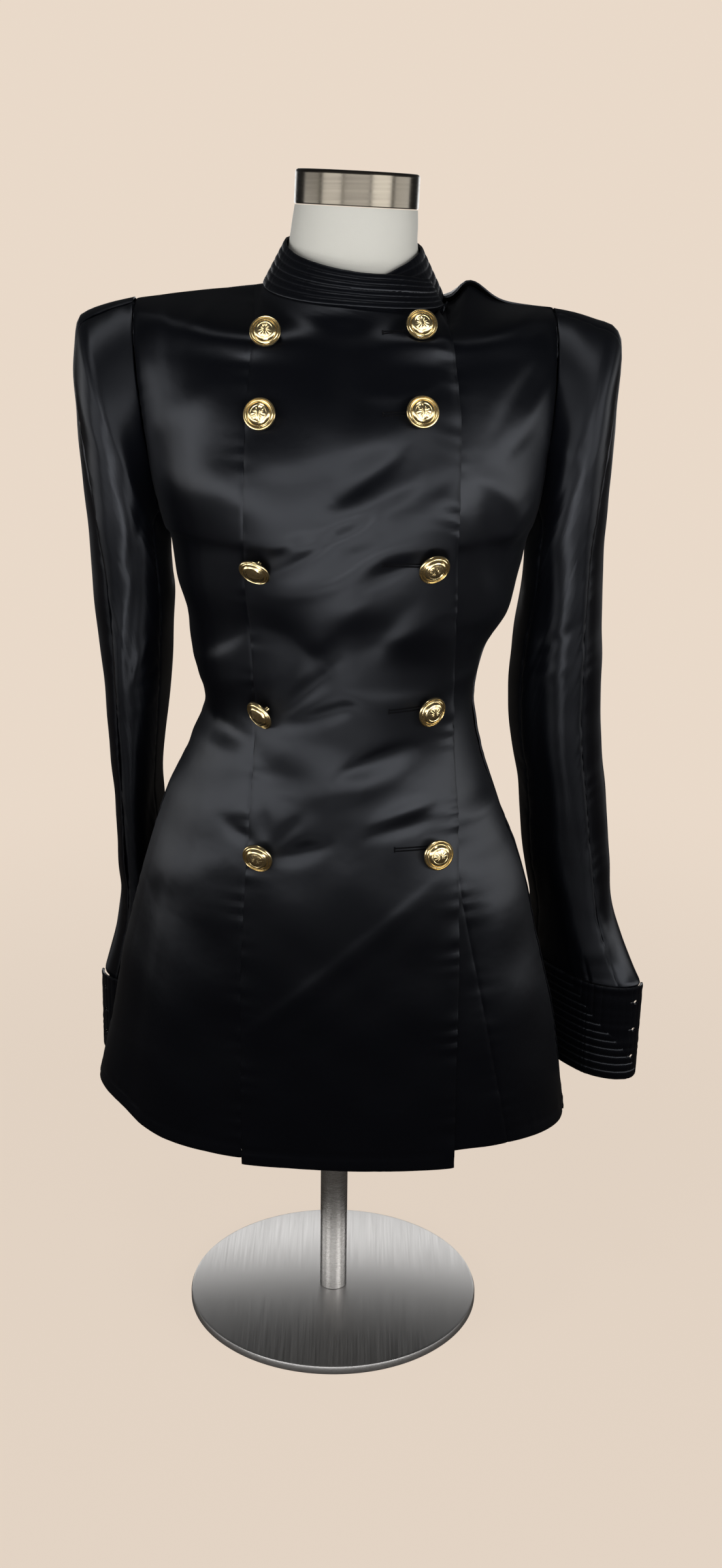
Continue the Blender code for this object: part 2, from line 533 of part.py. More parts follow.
def collar_point(angle, height, sink):
    """The collar at an angle from above and a height from 0 at the neckline to 1 at the top."""
    a = math.radians(angle)
    lap = min(max((angle - 190) / (COLLAR_END - 190), 0.0), 1.0)
    bottom = neckline_point(angle)
    under_end = min(max((30 - angle) / (30 - COLLAR_START), 0.0), 1.0)
    bottom[2] += 2 * SEAM_GAP + COLLAR_LAP_RISE * max(lap ** 3, under_end)
    depth = COLLAR_TOP_FRONT if math.sin(a) < 0 else COLLAR_TOP_BACK
    top = np.array((NECK_X + COLLAR_TOP_HALF_WIDTH * math.cos(a), NECK_Y + depth * math.sin(a),
                    height_at(COLLAR_TOP_HEIGHT, angle)))
    out = COLLAR_LAP_OUT * lap ** 0.6 * (1 + 1.6 * lap ** 3 * height)
    across = np.array((math.cos(a), math.sin(a), 0.0))
    return bottom + (top - bottom) * height + across * (out - sink)


def make_collar(material):
    steps = 40
    angles = [COLLAR_START + (COLLAR_END - COLLAR_START) * i / steps for i in range(steps + 1)]
    rows = 2 * COLLAR_CHANNELS
    heights = [r / rows for r in range(rows + 1)]
    outer = [[collar_point(a, h, QUILT_SINK * (r % 2 == 0)) for a in angles]
             for r, h in enumerate(heights)]
    inner = [[collar_point(a, h, QUILT_WALL) for a in angles] for h in heights]
    wall("collar", outer, inner, material, inner_rows=[0, rows])


def sleeve_point(rings, angle, v):
    i = min(int(v), len(rings) - 2)
    picks = [min(max(r, 0), len(rings) - 1) for r in (i - 1, i, i + 1, i + 2)]
    return spline([sleeve_ring_point(rings[r], angle) for r in picks], 1 + v - i)


def make_sleeve_piece(name, rings, material, front):
    """Half of a two-piece sleeve, between its outer and its inner seam."""
    last = len(rings) - 1
    side = math.copysign(1, rings[0].x_out)
    rows = [0, 1, 2, 3, 4, 5, 6, 7, 8, 9, 10, 11, 12, 13, 14, 15, 16, 17]
    columns = 6 if front else 10
    outer, inner = [], []
    for v in rows:
        start = spline([ring.outer_seam for ring in rings], v)
        stop = spline([ring.inner_seam for ring in rings], v)
        if not front:
            start, stop = stop, start + 360
        out_line, in_line = [], []
        for i in range(columns + 1):
            angle = start + (stop - start) * i / columns
            point = sleeve_point(rings, angle, v)
            normal = surface_normal(lambda a, b: sleeve_point(rings, a, b), angle, v, 4, 0.1,
                                    (-360, 720), (0, last)) * side
            point[0] += side * SEAM_GAP * 1.3 * (v == 0)
            out_line.append(point)
            in_line.append(point - normal * WALL)
        outer.append(out_line)
        inner.append(in_line)
    wall(name, pull_in(outer, SEAM_GAP / 2), pull_in(inner, SEAM_GAP / 2), material)


def cuff_point(top, hem, angle, height):
    """A point of a cuff: height 1 at the sleeve seam and 0 at its hem."""
    low, high = sleeve_ring_point(hem, angle), sleeve_ring_point(top, angle)
    return low + (high - low) * height


def make_cuff(name, top, hem, material):
    """A band from the flap's edge round to the vent, with mitred channels.

    The channels run round the cuff and turn up to its top edge beside the flap's edge."""
    side = math.copysign(1, top.x_out)
    rows = 2 * CUFF_CHANNELS
    mitre = [CUFF_FLAP_ANGLE + (CUFF_MITRE_END - CUFF_FLAP_ANGLE) * i / rows for i in range(rows + 1)]
    plain = [CUFF_MITRE_END + (CUFF_VENT_ANGLE - CUFF_MITRE_END) * i / 9 for i in range(1, 10)]
    outer, inner = [], []
    for r in range(rows + 1):
        height = r / rows
        out_line, in_line = [], []
        for c, angle in enumerate(mitre + plain):
            point = cuff_point(top, hem, angle, height)
            normal = surface_normal(lambda a, b: cuff_point(top, hem, a, b), angle, height,
                                    3, 0.1, (-360, 720), (0, 1)) * -side
            on_stitch = min(r, c) % 2 == 0
            out_line.append(point - normal * QUILT_SINK * on_stitch)
            in_line.append(point - normal * QUILT_WALL)
        outer.append(out_line)
        inner.append(in_line)
    wall(name, outer, inner, material, inner_rows=[0, rows])


def turned(name, profile, segments, matrix, material):
    """A solid turned about its own z axis from (radius, height) pairs, lowest first."""
    mesh_edit = bmesh.new()
    rings = []
    for radius, height in profile:
        count = segments if radius > 0 else 1
        angles = [2 * math.pi * i / count for i in range(count)]
        rings.append([mesh_edit.verts.new((radius * math.cos(a), radius * math.sin(a), height))
                      for a in angles])
    for low, high in zip(rings, rings[1:]):
        for i in range(segments):
            corners = [low[i % len(low)], low[(i + 1) % len(low)],
                       high[(i + 1) % len(high)], high[i % len(high)]]
            mesh_edit.faces.new(list(dict.fromkeys(corners)))
    for ring in (rings[0], rings[-1]):
        if len(ring) > 1:
            mesh_edit.faces.new(ring)
    bmesh.ops.recalc_face_normals(mesh_edit, faces=mesh_edit.faces)
    obj = add_object(name, mesh_edit, material)
    obj.matrix_world = matrix
    return obj


def make_button(button, plastron_tree, material):
    """A domed button with stepped rings and a shank, standing on the plastron."""
    ground, normal = plastron_tree.ray_cast(Vector((button.x, -1, button.z)), Vector((0, 1, 0)))[:2]
    droop, turn = math.radians(button.droop), math.radians(button.turn)
    axis = Matrix.Rotation(turn, 3, "Z") @ Matrix.Rotation(droop, 3, "X") @ normal
    tilt = axis.angle(normal)
    shank = SHANK_LENGTH + (DROOP_SHANK_LENGTH - SHANK_LENGTH) * min(button.droop / 25, 1)
    sideways = (axis - normal * axis.dot(normal)) * (shank + 0.003)
    seat = ground - sideways
    seat, normal = plastron_tree.ray_cast(Vector((seat.x, -1, seat.z)), Vector((0, 1, 0)))[:2]
    root = seat + normal * (1.5 * SEAM_GAP + SHANK_RADIUS * math.sin(tilt))
    r, s = button.radius, shank
    profile = [(SHANK_RADIUS, 0), (SHANK_RADIUS, s), (r * 0.86, s), (r, s + 0.0012),
               (r, s + 0.0022), (r * 0.90, s + 0.0031), (r * 0.80, s + 0.0029),
               (r * 0.72, s + 0.0045), (r * 0.45, s + 0.0060), (0, s + 0.0067)]
    rotation = axis.to_track_quat("Z", "Y").to_matrix().to_4x4()
    return turned(button.name, profile, 14, Matrix.Translation(root) @ rotation, material)


def form_ring(v, clearance):
    """A ring of the form: the jacket's own ring at this height, moved in."""
    rows = []
    for front in (True, False):
        row = []
        for u in FORM_ACROSS:
            point = body_point(u, v, front) - body_normal(u, v, front) * clearance
            if v == LAST_ROW and abs(u) > NECK_SPAN:
                point[2] -= shoulder_fold(point[0])
            row.append(point)
        rows.append(row)
    return rows[0], rows[1][::-1]


def form_ridge(points, outward):
    """The top of the form's shoulders under the seams, and the foot of its neck."""
    moved = []
    neck_middle = np.array((NECK_X, NECK_Y, 0))
    for i, point in enumerate(points):
        point = point.copy()
        on_neck = FIRST_NECK <= i <= LAST_NECK
        drop = RIDGE_DROP_LEFT if point[0] > NECK_X else RIDGE_DROP_RIGHT
        if on_neck:
            point[:2] -= (point - neck_middle)[:2] * FORM_NECK_INSET
        if FIRST_NECK < i < LAST_NECK:
            drop = max(drop, FORM_NECK_DROP)
        else:
            point[1] += outward * RIDGE_HALF
        point[2] -= drop
        moved.append(point)
    return moved


def make_form(material):
    """Body, shoulders and neck of the form in one solid, inside the jacket and clear of it."""
    mesh_edit = bmesh.new()
    rings = []
    hip_front, hip_back = form_ring(HIP_ROW, FORM_CLEARANCE[0][1])
    for scale, rise in FORM_FOOT:
        rings.append([(p[0] * scale, p[1] * scale, FORM_BOTTOM + rise) for p in hip_front + hip_back])
    for v, clearance in FORM_CLEARANCE:
        front, back = form_ring(v, clearance)
        rings.append(front + back)
    front, back = form_ring(LAST_ROW, 0.0)
    rings.append(form_ridge(front, -1) + form_ridge(back, 1))
    count = len(rings[0])
    verts = [[mesh_edit.verts.new(p) for p in ring] for ring in rings]
    for low, high in zip(verts, verts[1:]):
        for i in range(count):
            j = (i + 1) % count
            mesh_edit.faces.new((low[i], low[j], high[j], high[i]))
    mesh_edit.faces.new(verts[0][::-1])
    top = verts[-1]
    across = len(FORM_ACROSS)
    for i in list(range(FIRST_NECK)) + list(range(LAST_NECK, across - 1)):
        mesh_edit.faces.new((top[i], top[i + 1], top[count - 2 - i], top[count - 1 - i]))
    previous = top[FIRST_NECK:LAST_NECK + 1] + top[count - 1 - LAST_NECK:count - FIRST_NECK]
    for ring in FORM_NECK:
        verts = []
        for i in range(FORM_NECK_SIDES):
            a = math.pi + 2 * math.pi * i / FORM_NECK_SIDES
            depth = ring.front if math.sin(a) < 0 else ring.back
            across = ring.half_width * math.cos(a)
            verts.append(mesh_edit.verts.new((ring.x + across, NECK_Y + depth * math.sin(a),
                                              ring.z - across * math.tan(CAP_TILT))))
        edges = []
        for loop in (previous, verts):
            for p, q in zip(loop, loop[1:] + loop[:1]):
                edges.append(mesh_edit.edges.get((p, q)) or mesh_edit.edges.new((p, q)))
        bmesh.ops.bridge_loops(mesh_edit, edges=edges)
        previous = verts
    mesh_edit.faces.new(previous)
    bmesh.ops.triangulate(mesh_edit, faces=mesh_edit.faces)
    add_object("dress_form", mesh_edit, material)


def make_stand(material):
    turned("base_plate", [(BASE_RADIUS - 0.001, 0), (BASE_RADIUS, 0.001),
                          (BASE_RADIUS, BASE_THICKNESS - 0.002),
                          (BASE_RADIUS - 0.002, BASE_THICKNESS)], 40, Matrix.Identity(4), material)
    turned("pole", [(POLE_RADIUS, BASE_THICKNESS + SEAM_GAP), (POLE_RADIUS, FORM_BOTTOM - SEAM_GAP)],
           24, Matrix.Identity(4), material)
    tilt = Matrix.Translation(CAP_BOTTOM) @ Matrix.Rotation(CAP_TILT, 4, "Y")
    turned("neck_cap", [(CAP_RADIUS - 0.0008, 0.0003), (CAP_RADIUS, 0.0011),
                        (CAP_RADIUS, CAP_HEIGHT - 0.0015), (CAP_RADIUS - 0.0015, CAP_HEIGHT)],
           32, tilt, material)


def main():
    clear_scene()
    satin, gold, skin, steel = (make_material(spec) for spec in (SATIN, GOLD, FORM_SKIN, STEEL))
    make_fronts(satin)
    make_backs(satin)
    make_collar(satin)
    for name, rings in (("right_sleeve", RIGHT_SLEEVE), ("left_sleeve", LEFT_SLEEVE)):
        make_sleeve_piece(name + "_front", rings, satin, True)
        make_sleeve_piece(name + "_back", rings, satin, False)
    make_cuff("right_cuff", RIGHT_CUFF_TOP, RIGHT_CUFF_HEM, satin)
    make_cuff("left_cuff", LEFT_CUFF_TOP, LEFT_CUFF_HEM, satin)
    plastron = bpy.data.objects["front_plastron"]
    plastron_tree = BVHTree.FromPolygons([v.co for v in plastron.data.vertices],
                                         [p.vertices[:] for p in plastron.data.polygons])
    for button in BUTTONS:
        make_button(button, plastron_tree, gold)
    make_form(skin)
    make_stand(steel)


main()
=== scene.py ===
"""The finish of a black satin military jacket on its dress form and stand.

Metres, +Z up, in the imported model's own frame: the front faces -Y and +X is the viewer's right.
"""

import math
from collections import namedtuple

import bmesh
import bpy
import numpy as np
from mathutils import Matrix, Vector
from mathutils.bvhtree import BVHTree


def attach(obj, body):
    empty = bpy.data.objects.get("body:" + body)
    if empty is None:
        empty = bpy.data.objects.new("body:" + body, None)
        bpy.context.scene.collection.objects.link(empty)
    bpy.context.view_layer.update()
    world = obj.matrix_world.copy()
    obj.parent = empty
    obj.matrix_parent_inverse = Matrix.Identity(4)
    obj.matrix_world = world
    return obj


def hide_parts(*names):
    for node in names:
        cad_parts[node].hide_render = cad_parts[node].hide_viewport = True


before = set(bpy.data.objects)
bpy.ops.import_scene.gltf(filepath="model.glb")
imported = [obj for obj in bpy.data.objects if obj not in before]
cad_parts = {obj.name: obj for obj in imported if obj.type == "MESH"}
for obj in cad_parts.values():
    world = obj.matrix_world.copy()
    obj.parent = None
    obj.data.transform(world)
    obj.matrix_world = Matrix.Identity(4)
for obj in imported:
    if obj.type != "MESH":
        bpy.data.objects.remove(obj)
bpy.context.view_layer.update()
bpy.ops.object.select_all(action="DESELECT")


# Camera: level with the neck cap, about a metre and a half in front, tipped down so that the
# whole jacket and the top of its stand are in view, and turned by a hair as it was held.
CAMERA_PLACE = (0.0187, -1.55, 0.97265)
CAMERA_PITCH = 13.03
CAMERA_ROLL = 0.67
CAMERA_LENS = 43.04
CAMERA_SHIFT_Y = -0.0908

bpy.ops.object.camera_add(location=CAMERA_PLACE)
camera = bpy.context.object
camera.name = "camera"
camera.matrix_world = (Matrix.Translation(CAMERA_PLACE)
                       @ Matrix.Rotation(math.radians(90 - CAMERA_PITCH), 4, "X")
                       @ Matrix.Rotation(math.radians(CAMERA_ROLL), 4, "Z"))
camera.data.sensor_fit = "VERTICAL"
camera.data.sensor_height = 36.0
camera.data.lens = CAMERA_LENS
camera.data.shift_y = CAMERA_SHIFT_Y
bpy.context.scene.camera = camera


# Floor and light: a pale warm floor that runs off into a backdrop of the same colour. A broad soft
# box stands in front with two narrow gridded ones low before the stand, others at sides and back.
BACKDROP_COLOR = (0.815, 0.695, 0.585)
FLOOR_RADIUS = 9.0
FLOOR_FADE = (0.45, 1.6)
ROOM_LIGHT = 0.05
ROOM_LIGHT_COLOR = (0.95, 0.97, 1.0)
FLOOR_NEAR_SHARE = 0.88
FLOOR_MIRROR_SHARE = 0.05


def set_inputs(tree, node, inputs):
    """Gives each input its value, or a link where the value is another node's socket."""
    for place, value in inputs.items():
        if isinstance(value, bpy.types.NodeSocket):
            tree.links.new(value, node.inputs[place])
        else:
            node.inputs[place].default_value = value


def add_node(tree, kind, inputs=None, **settings):
    node = tree.nodes.new(kind)
    for name, value in settings.items():
        setattr(node, name, value)
    set_inputs(tree, node, inputs or {})
    return node


def rgba(color, share=1.0):
    return (*(share * c for c in color), 1.0)


def colored_material(name, color, roughness, more=None):
    """A material with its constants on the shader's own sockets."""
    material = bpy.data.materials.new(name)
    material.use_nodes = True
    tree = material.node_tree
    set_inputs(tree, tree.nodes["Principled BSDF"], {
        "Base Color": rgba(color), "Roughness": roughness, **(more or {})})
    return material


def soft_box(name, place, aim, width, height, watts, spread=180):
    """A soft box; a spread under 180 degrees stands for a honeycomb grid on its front."""
    bpy.ops.object.light_add(type="AREA", location=place)
    box = bpy.context.object
    box.name = name
    box.rotation_euler = (Vector(aim) - Vector(place)).to_track_quat("-Z", "Y").to_euler()
    box.data.shape = "RECTANGLE"
    box.data.size = width
    box.data.size_y = height
    box.data.energy = watts
    box.data.spread = math.radians(spread)


def floor_material():
    """Pale to the camera and lit round the stand, and as dark as the room in reflections."""
    material = colored_material("floor", BACKDROP_COLOR, 0.95, {"Specular IOR Level": 0.0})
    tree = material.node_tree
    where = add_node(tree, "ShaderNodeTexCoord")
    distance = add_node(tree, "ShaderNodeVectorMath", {0: where.outputs["Object"]}, operation="LENGTH")
    fade = add_node(tree, "ShaderNodeMapRange", {
        "Value": distance.outputs["Value"], "From Min": FLOOR_FADE[0], "From Max": FLOOR_FADE[1],
        "To Min": FLOOR_NEAR_SHARE}, interpolation_type="SMOOTHSTEP")
    far = add_node(tree, "ShaderNodeEmission", {"Color": rgba(BACKDROP_COLOR)})
    near_or_far = add_node(tree, "ShaderNodeMixShader", {
        0: fade.outputs["Result"], 1: tree.nodes["Principled BSDF"].outputs[0], 2: far.outputs[0]})
    mirrored = add_node(tree, "ShaderNodeEmission", {"Color": rgba(BACKDROP_COLOR, FLOOR_MIRROR_SHARE)})
    ray = add_node(tree, "ShaderNodeLightPath")
    choice = add_node(tree, "ShaderNodeMixShader", {
        0: ray.outputs["Is Camera Ray"], 1: mirrored.outputs[0], 2: near_or_far.outputs[0]})
    set_inputs(tree, tree.nodes["Material Output"], {"Surface": choice.outputs[0]})
    return material


bpy.ops.mesh.primitive_circle_add(vertices=96, radius=FLOOR_RADIUS, fill_type="NGON",
                                  location=(0, 0, -0.0005))
floor = bpy.context.object
floor.name = "floor"
floor.data.materials.append(floor_material())

soft_box("front_box", (0.0, -2.75, 0.80), (0.0, 0.0, 0.66), 2.4, 0.86, 19.0)
soft_box("low_box", (0.0, -1.36, 0.06), (0.0, -0.13, 0.77), 2.2, 0.36, 1.05, 30)
soft_box("belly_box", (0.0, -1.42, 0.41), (0.0, -0.12, 0.76), 1.6, 0.14, 0.36, 30)
soft_box("front_left_box", (-2.0, -1.9, 0.85), (0.0, 0.0, 0.70), 1.9, 0.90, 22.0)
soft_box("front_right_box", (2.0, -1.9, 1.00), (0.0, 0.0, 0.80), 1.9, 0.90, 27.0)
soft_box("left_box", (-2.7, 0.1, 0.70), (0.0, 0.0, 0.66), 1.9, 0.90, 14.0)
soft_box("right_box", (2.7, 0.1, 0.70), (0.0, 0.0, 0.66), 1.9, 0.90, 14.0)
soft_box("back_box", (0.0, 2.7, 0.80), (0.0, 0.0, 0.7), 3.0, 0.9, 15.0)
soft_box("high_box", (-0.3, -0.9, 3.2), (0.0, 0.0, 0.8), 0.7, 0.7, 10.0)

world = bpy.data.worlds.new("studio")
bpy.context.scene.world = world
world.use_nodes = True
world_tree = world.node_tree
world_tree.nodes.clear()
seen = add_node(world_tree, "ShaderNodeBackground", {"Color": rgba(BACKDROP_COLOR)})
lighting = add_node(world_tree, "ShaderNodeBackground", {
    "Color": rgba(ROOM_LIGHT_COLOR), "Strength": ROOM_LIGHT})
path = add_node(world_tree, "ShaderNodeLightPath")
choose = add_node(world_tree, "ShaderNodeMixShader", {
    0: path.outputs["Is Camera Ray"], 1: lighting.outputs[0], 2: seen.outputs[0]})
add_node(world_tree, "ShaderNodeOutputWorld", {"Surface": choose.outputs[0]})
bpy.context.scene.view_settings.view_transform = "Standard"


# Base plate and pole: a turned steel disc with a softened rim, and a steel tube that stands on it
# and carries the form. Both are brushed, the disc in rings and the tube round and round.
BRUSHED_STEEL = (0.60, 0.585, 0.57)
POLE_RADIUS = 0.01215
BASE_RADIUS = 0.130
BASE_THICKNESS = 0.008
PLATE_GRAIN = (900, 14, 900)
POLE_GRAIN = (60, 60, 2600)
FORM_BOTTOM = 0.335
SEAM_GAP = 0.0003


def brushed_material(name, color, roughness, stretch):
    """Steel with fine brush lines: 'stretch' scales the Object coordinates along each axis."""
    material = colored_material(name, color, roughness, {"Metallic": 1.0})
    tree = material.node_tree
    where = add_node(tree, "ShaderNodeTexCoord")
    scaled = add_node(tree, "ShaderNodeMapping", {"Vector": where.outputs["Object"], "Scale": stretch})
    lines = add_node(tree, "ShaderNodeTexNoise", {
        "Vector": scaled.outputs["Vector"], "Scale": 1.0, "Detail": 4.0})
    gloss = add_node(tree, "ShaderNodeMapRange", {
        "Value": lines.outputs["Fac"], "To Min": roughness - 0.09, "To Max": roughness + 0.11})
    bump = add_node(tree, "ShaderNodeBump", {
        "Height": lines.outputs["Fac"], "Strength": 0.06, "Distance": 0.0002})
    set_inputs(tree, tree.nodes["Principled BSDF"], {
        "Roughness": gloss.outputs["Result"], "Normal": bump.outputs["Normal"]})
    return material


def finish_piece(piece, slot, material, *nodes):
    """Gives a finished piece its material and body, and hides the nodes it stands for; its slot is not
    used.
    """
    piece.data.materials.clear()
    piece.data.materials.append(material)
    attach(piece, "root")
    if nodes:
        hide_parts(*nodes)
    piece.select_set(False)


def turned_piece(name, profile, segments):
    """A piece turned about Z from (radius, height) pairs that start and end on the axis."""
    bpy.ops.mesh.primitive_plane_add(size=0.01)
    piece = bpy.context.object
    piece.name = name
    mesh = bmesh.new()
    line = [mesh.verts.new((radius, 0.0, height)) for radius, height in profile]
    for low, high in zip(line, line[1:]):
        mesh.edges.new((low, high))
    mesh.to_mesh(piece.data)
    mesh.free()
    bpy.ops.object.mode_set(mode="EDIT")
    bpy.ops.mesh.select_all(action="SELECT")
    bpy.ops.mesh.spin(steps=segments, angle=2 * math.pi, center=(0, 0, 0), axis=(0, 0, 1))
    bpy.ops.mesh.select_all(action="SELECT")
    bpy.ops.mesh.remove_doubles(threshold=0.000005)
    bpy.ops.mesh.normals_make_consistent(inside=False)
    bpy.ops.object.mode_set(mode="OBJECT")
    bpy.ops.object.shade_smooth_by_angle(angle=math.radians(35))
    return piece


base_plate = turned_piece("base_disc", [
    (0, 0), (BASE_RADIUS - 0.0012, 0), (BASE_RADIUS, 0.0012), (BASE_RADIUS, BASE_THICKNESS - 0.0024),
    (BASE_RADIUS - 0.0007, BASE_THICKNESS - 0.0007), (BASE_RADIUS - 0.0024, BASE_THICKNESS),
    (0, BASE_THICKNESS)], 160)
finish_piece(base_plate, "steel", brushed_material("brushed_plate", BRUSHED_STEEL, 0.36, PLATE_GRAIN),
             "base_plate")

pole = turned_piece("pole_tube", [
    (0, BASE_THICKNESS + SEAM_GAP), (POLE_RADIUS, BASE_THICKNESS + SEAM_GAP),
    (POLE_RADIUS, FORM_BOTTOM - SEAM_GAP), (0, FORM_BOTTOM - SEAM_GAP)], 72)
finish_piece(pole, "steel", brushed_material("brushed_pole", BRUSHED_STEEL, 0.27, POLE_GRAIN), "pole")


# Neck cap: a short steel drum that closes the form's neck, its rim rolled over and its wall
# brushed round and round. It leans with the neck by about two degrees.
CAP_RADIUS = 0.0501
CAP_HEIGHT = 0.0275
CAP_TILT = math.radians(2.3)
CAP_BOTTOM = (0.0108, -0.004, 0.9733)
CAP_STEEL = (0.135, 0.120, 0.097)
CAP_GRAIN = (12, 12, 500)

neck_cap = turned_piece("neck_cap_drum", [
    (0, 0.0003), (CAP_RADIUS - 0.0008, 0.0003), (CAP_RADIUS, 0.0011), (CAP_RADIUS, 0.0018),
    (CAP_RADIUS, CAP_HEIGHT - 0.0032), (CAP_RADIUS, CAP_HEIGHT - 0.0022),
    (CAP_RADIUS - 0.0005, CAP_HEIGHT - 0.0008), (CAP_RADIUS - 0.0020, CAP_HEIGHT),
    (CAP_RADIUS - 0.0032, CAP_HEIGHT - 0.0006), (0, CAP_HEIGHT - 0.0008)], 128)
neck_cap.data.transform(Matrix.Translation(CAP_BOTTOM) @ Matrix.Rotation(CAP_TILT, 4, "Y"))
finish_piece(neck_cap, "steel", brushed_material("brushed_cap", CAP_STEEL, 0.20, CAP_GRAIN), "neck_cap")


# The jacket's block: the rings and armholes that every panel is cut from. Rows up to the armpit
# are level rings; rows above start and end on the armholes. These are the source's own sizes,
# but the right sleeve's last two rings flare up to 6 mm more.
NECK_X = 0.0090
NECK_Y = -0.0040
NECK_HALF_WIDTH = 0.0735
NECK_FRONT = 0.0740
NECK_BACK = 0.0600
NECK_SPAN = 0.27
BUST_FULLNESS = 0.0085
BUST_POINTS = ((-0.078, 0.735), (0.092, 0.735))
BUST_SPREAD = 0.048
SHOULDER_FOLD_X = 0.104
SHOULDER_FOLD_WIDTH = 0.017
SHOULDER_FOLD_HEIGHT = 0.015
# Where front and back start to share their normals: across beside the side seam, rows below the
# shoulder seam, and across beside the neck
SIDE_BLEND = 0.93
SHOULDER_BLEND = 0.35
NECK_BLEND = 0.03
BODY_NORMAL_STEPS = (0.03, 0.12)

Ring = namedtuple("Ring", "name z x_left x_right y_side y_front y_back turn "
                          "plastron_seam lap_edge left_seam")
RINGS = [Ring(*row) for row in (
    ("hem",        0.200, -0.2065, 0.2015, -0.030, -0.1320, 0.1250, 0.50, -0.0760, 0.1023, 0.1480),
    ("skirt low",  0.285, -0.1945, 0.1905, -0.030, -0.1310, 0.1220, 0.50, -0.0765, 0.1023, 0.1320),
    ("skirt mid",  0.360, -0.1808, 0.1735, -0.028, -0.1290, 0.1180, 0.50, -0.0767, 0.1030, 0.1180),
    ("hip",        0.430, -0.1635, 0.1568, -0.024, -0.1250, 0.1110, 0.50, -0.0735, 0.1016, 0.1040),
    ("high hip",   0.490, -0.1450, 0.1335, -0.018, -0.1190, 0.0980, 0.50, -0.0701, 0.1005, 0.0940),
    ("low waist",  0.535, -0.1240, 0.1198, -0.012, -0.1140, 0.0800, 0.50, -0.0677, 0.0977, 0.0880),
    ("waist",      0.573, -0.1130, 0.1152, -0.008, -0.1125, 0.0690, 0.50, -0.0662, 0.0961, 0.0850),
    ("low ribs",   0.612, -0.1243, 0.1225, -0.006, -0.1140, 0.0720, 0.50, -0.0677, 0.0953, 0.0850),
    ("ribs",       0.645, -0.1275, 0.1410, -0.004, -0.1180, 0.0840, 0.50, -0.0705, 0.0950, 0.0860),
    ("under bust", 0.672, -0.1356, 0.1485, -0.002, -0.1225, 0.0940, 0.50, -0.0728, 0.0947, 0.0870),
    ("armpit",     0.706, -0.1415, 0.1560,  0.000, -0.1260, 0.1010, 0.52, -0.0738, 0.0944, 0.0880),
)]
Arc = namedtuple("Arc", "name armhole_angle z_front z_back y_front y_back turn "
                        "plastron_seam lap_edge left_seam")
ARCS = [Arc(*row) for row in (
    ("low armhole", 150, 0.723, 0.724, -0.1255, 0.1030, 0.58, -0.0738, 0.0944, 0.0880),
    ("bust",        118, 0.757, 0.760, -0.1225, 0.1055, 0.66, -0.0735, 0.0947, 0.0880),
    ("chest",        85, 0.806, 0.812, -0.1150, 0.1030, 0.74, -0.0732, 0.0949, 0.0880),
    ("yoke",         54, 0.850, 0.866, -0.1000, 0.0920, 0.80, -0.0705, 0.0905, 0.0860),
    ("high yoke",    27, 0.878, 0.900, -0.0885, 0.0770, 0.88, -0.0675, 0.0860, 0.0840),
)]
LAST_ROW = len(RINGS) + len(ARCS)

# Height of the neckline, by angle seen from above: 0 is the viewer's right, 90 the back, 180 the
# viewer's left and 270 the front.
NECKLINE_HEIGHT = [(0, 0.9030), (30, 0.9140), (60, 0.9210), (90, 0.9230), (120, 0.9220),
                   (150, 0.9180), (180, 0.9125), (210, 0.9060), (240, 0.9005), (270, 0.8975),
                   (300, 0.8945), (330, 0.8930), (345, 0.8950), (360, 0.9030)]

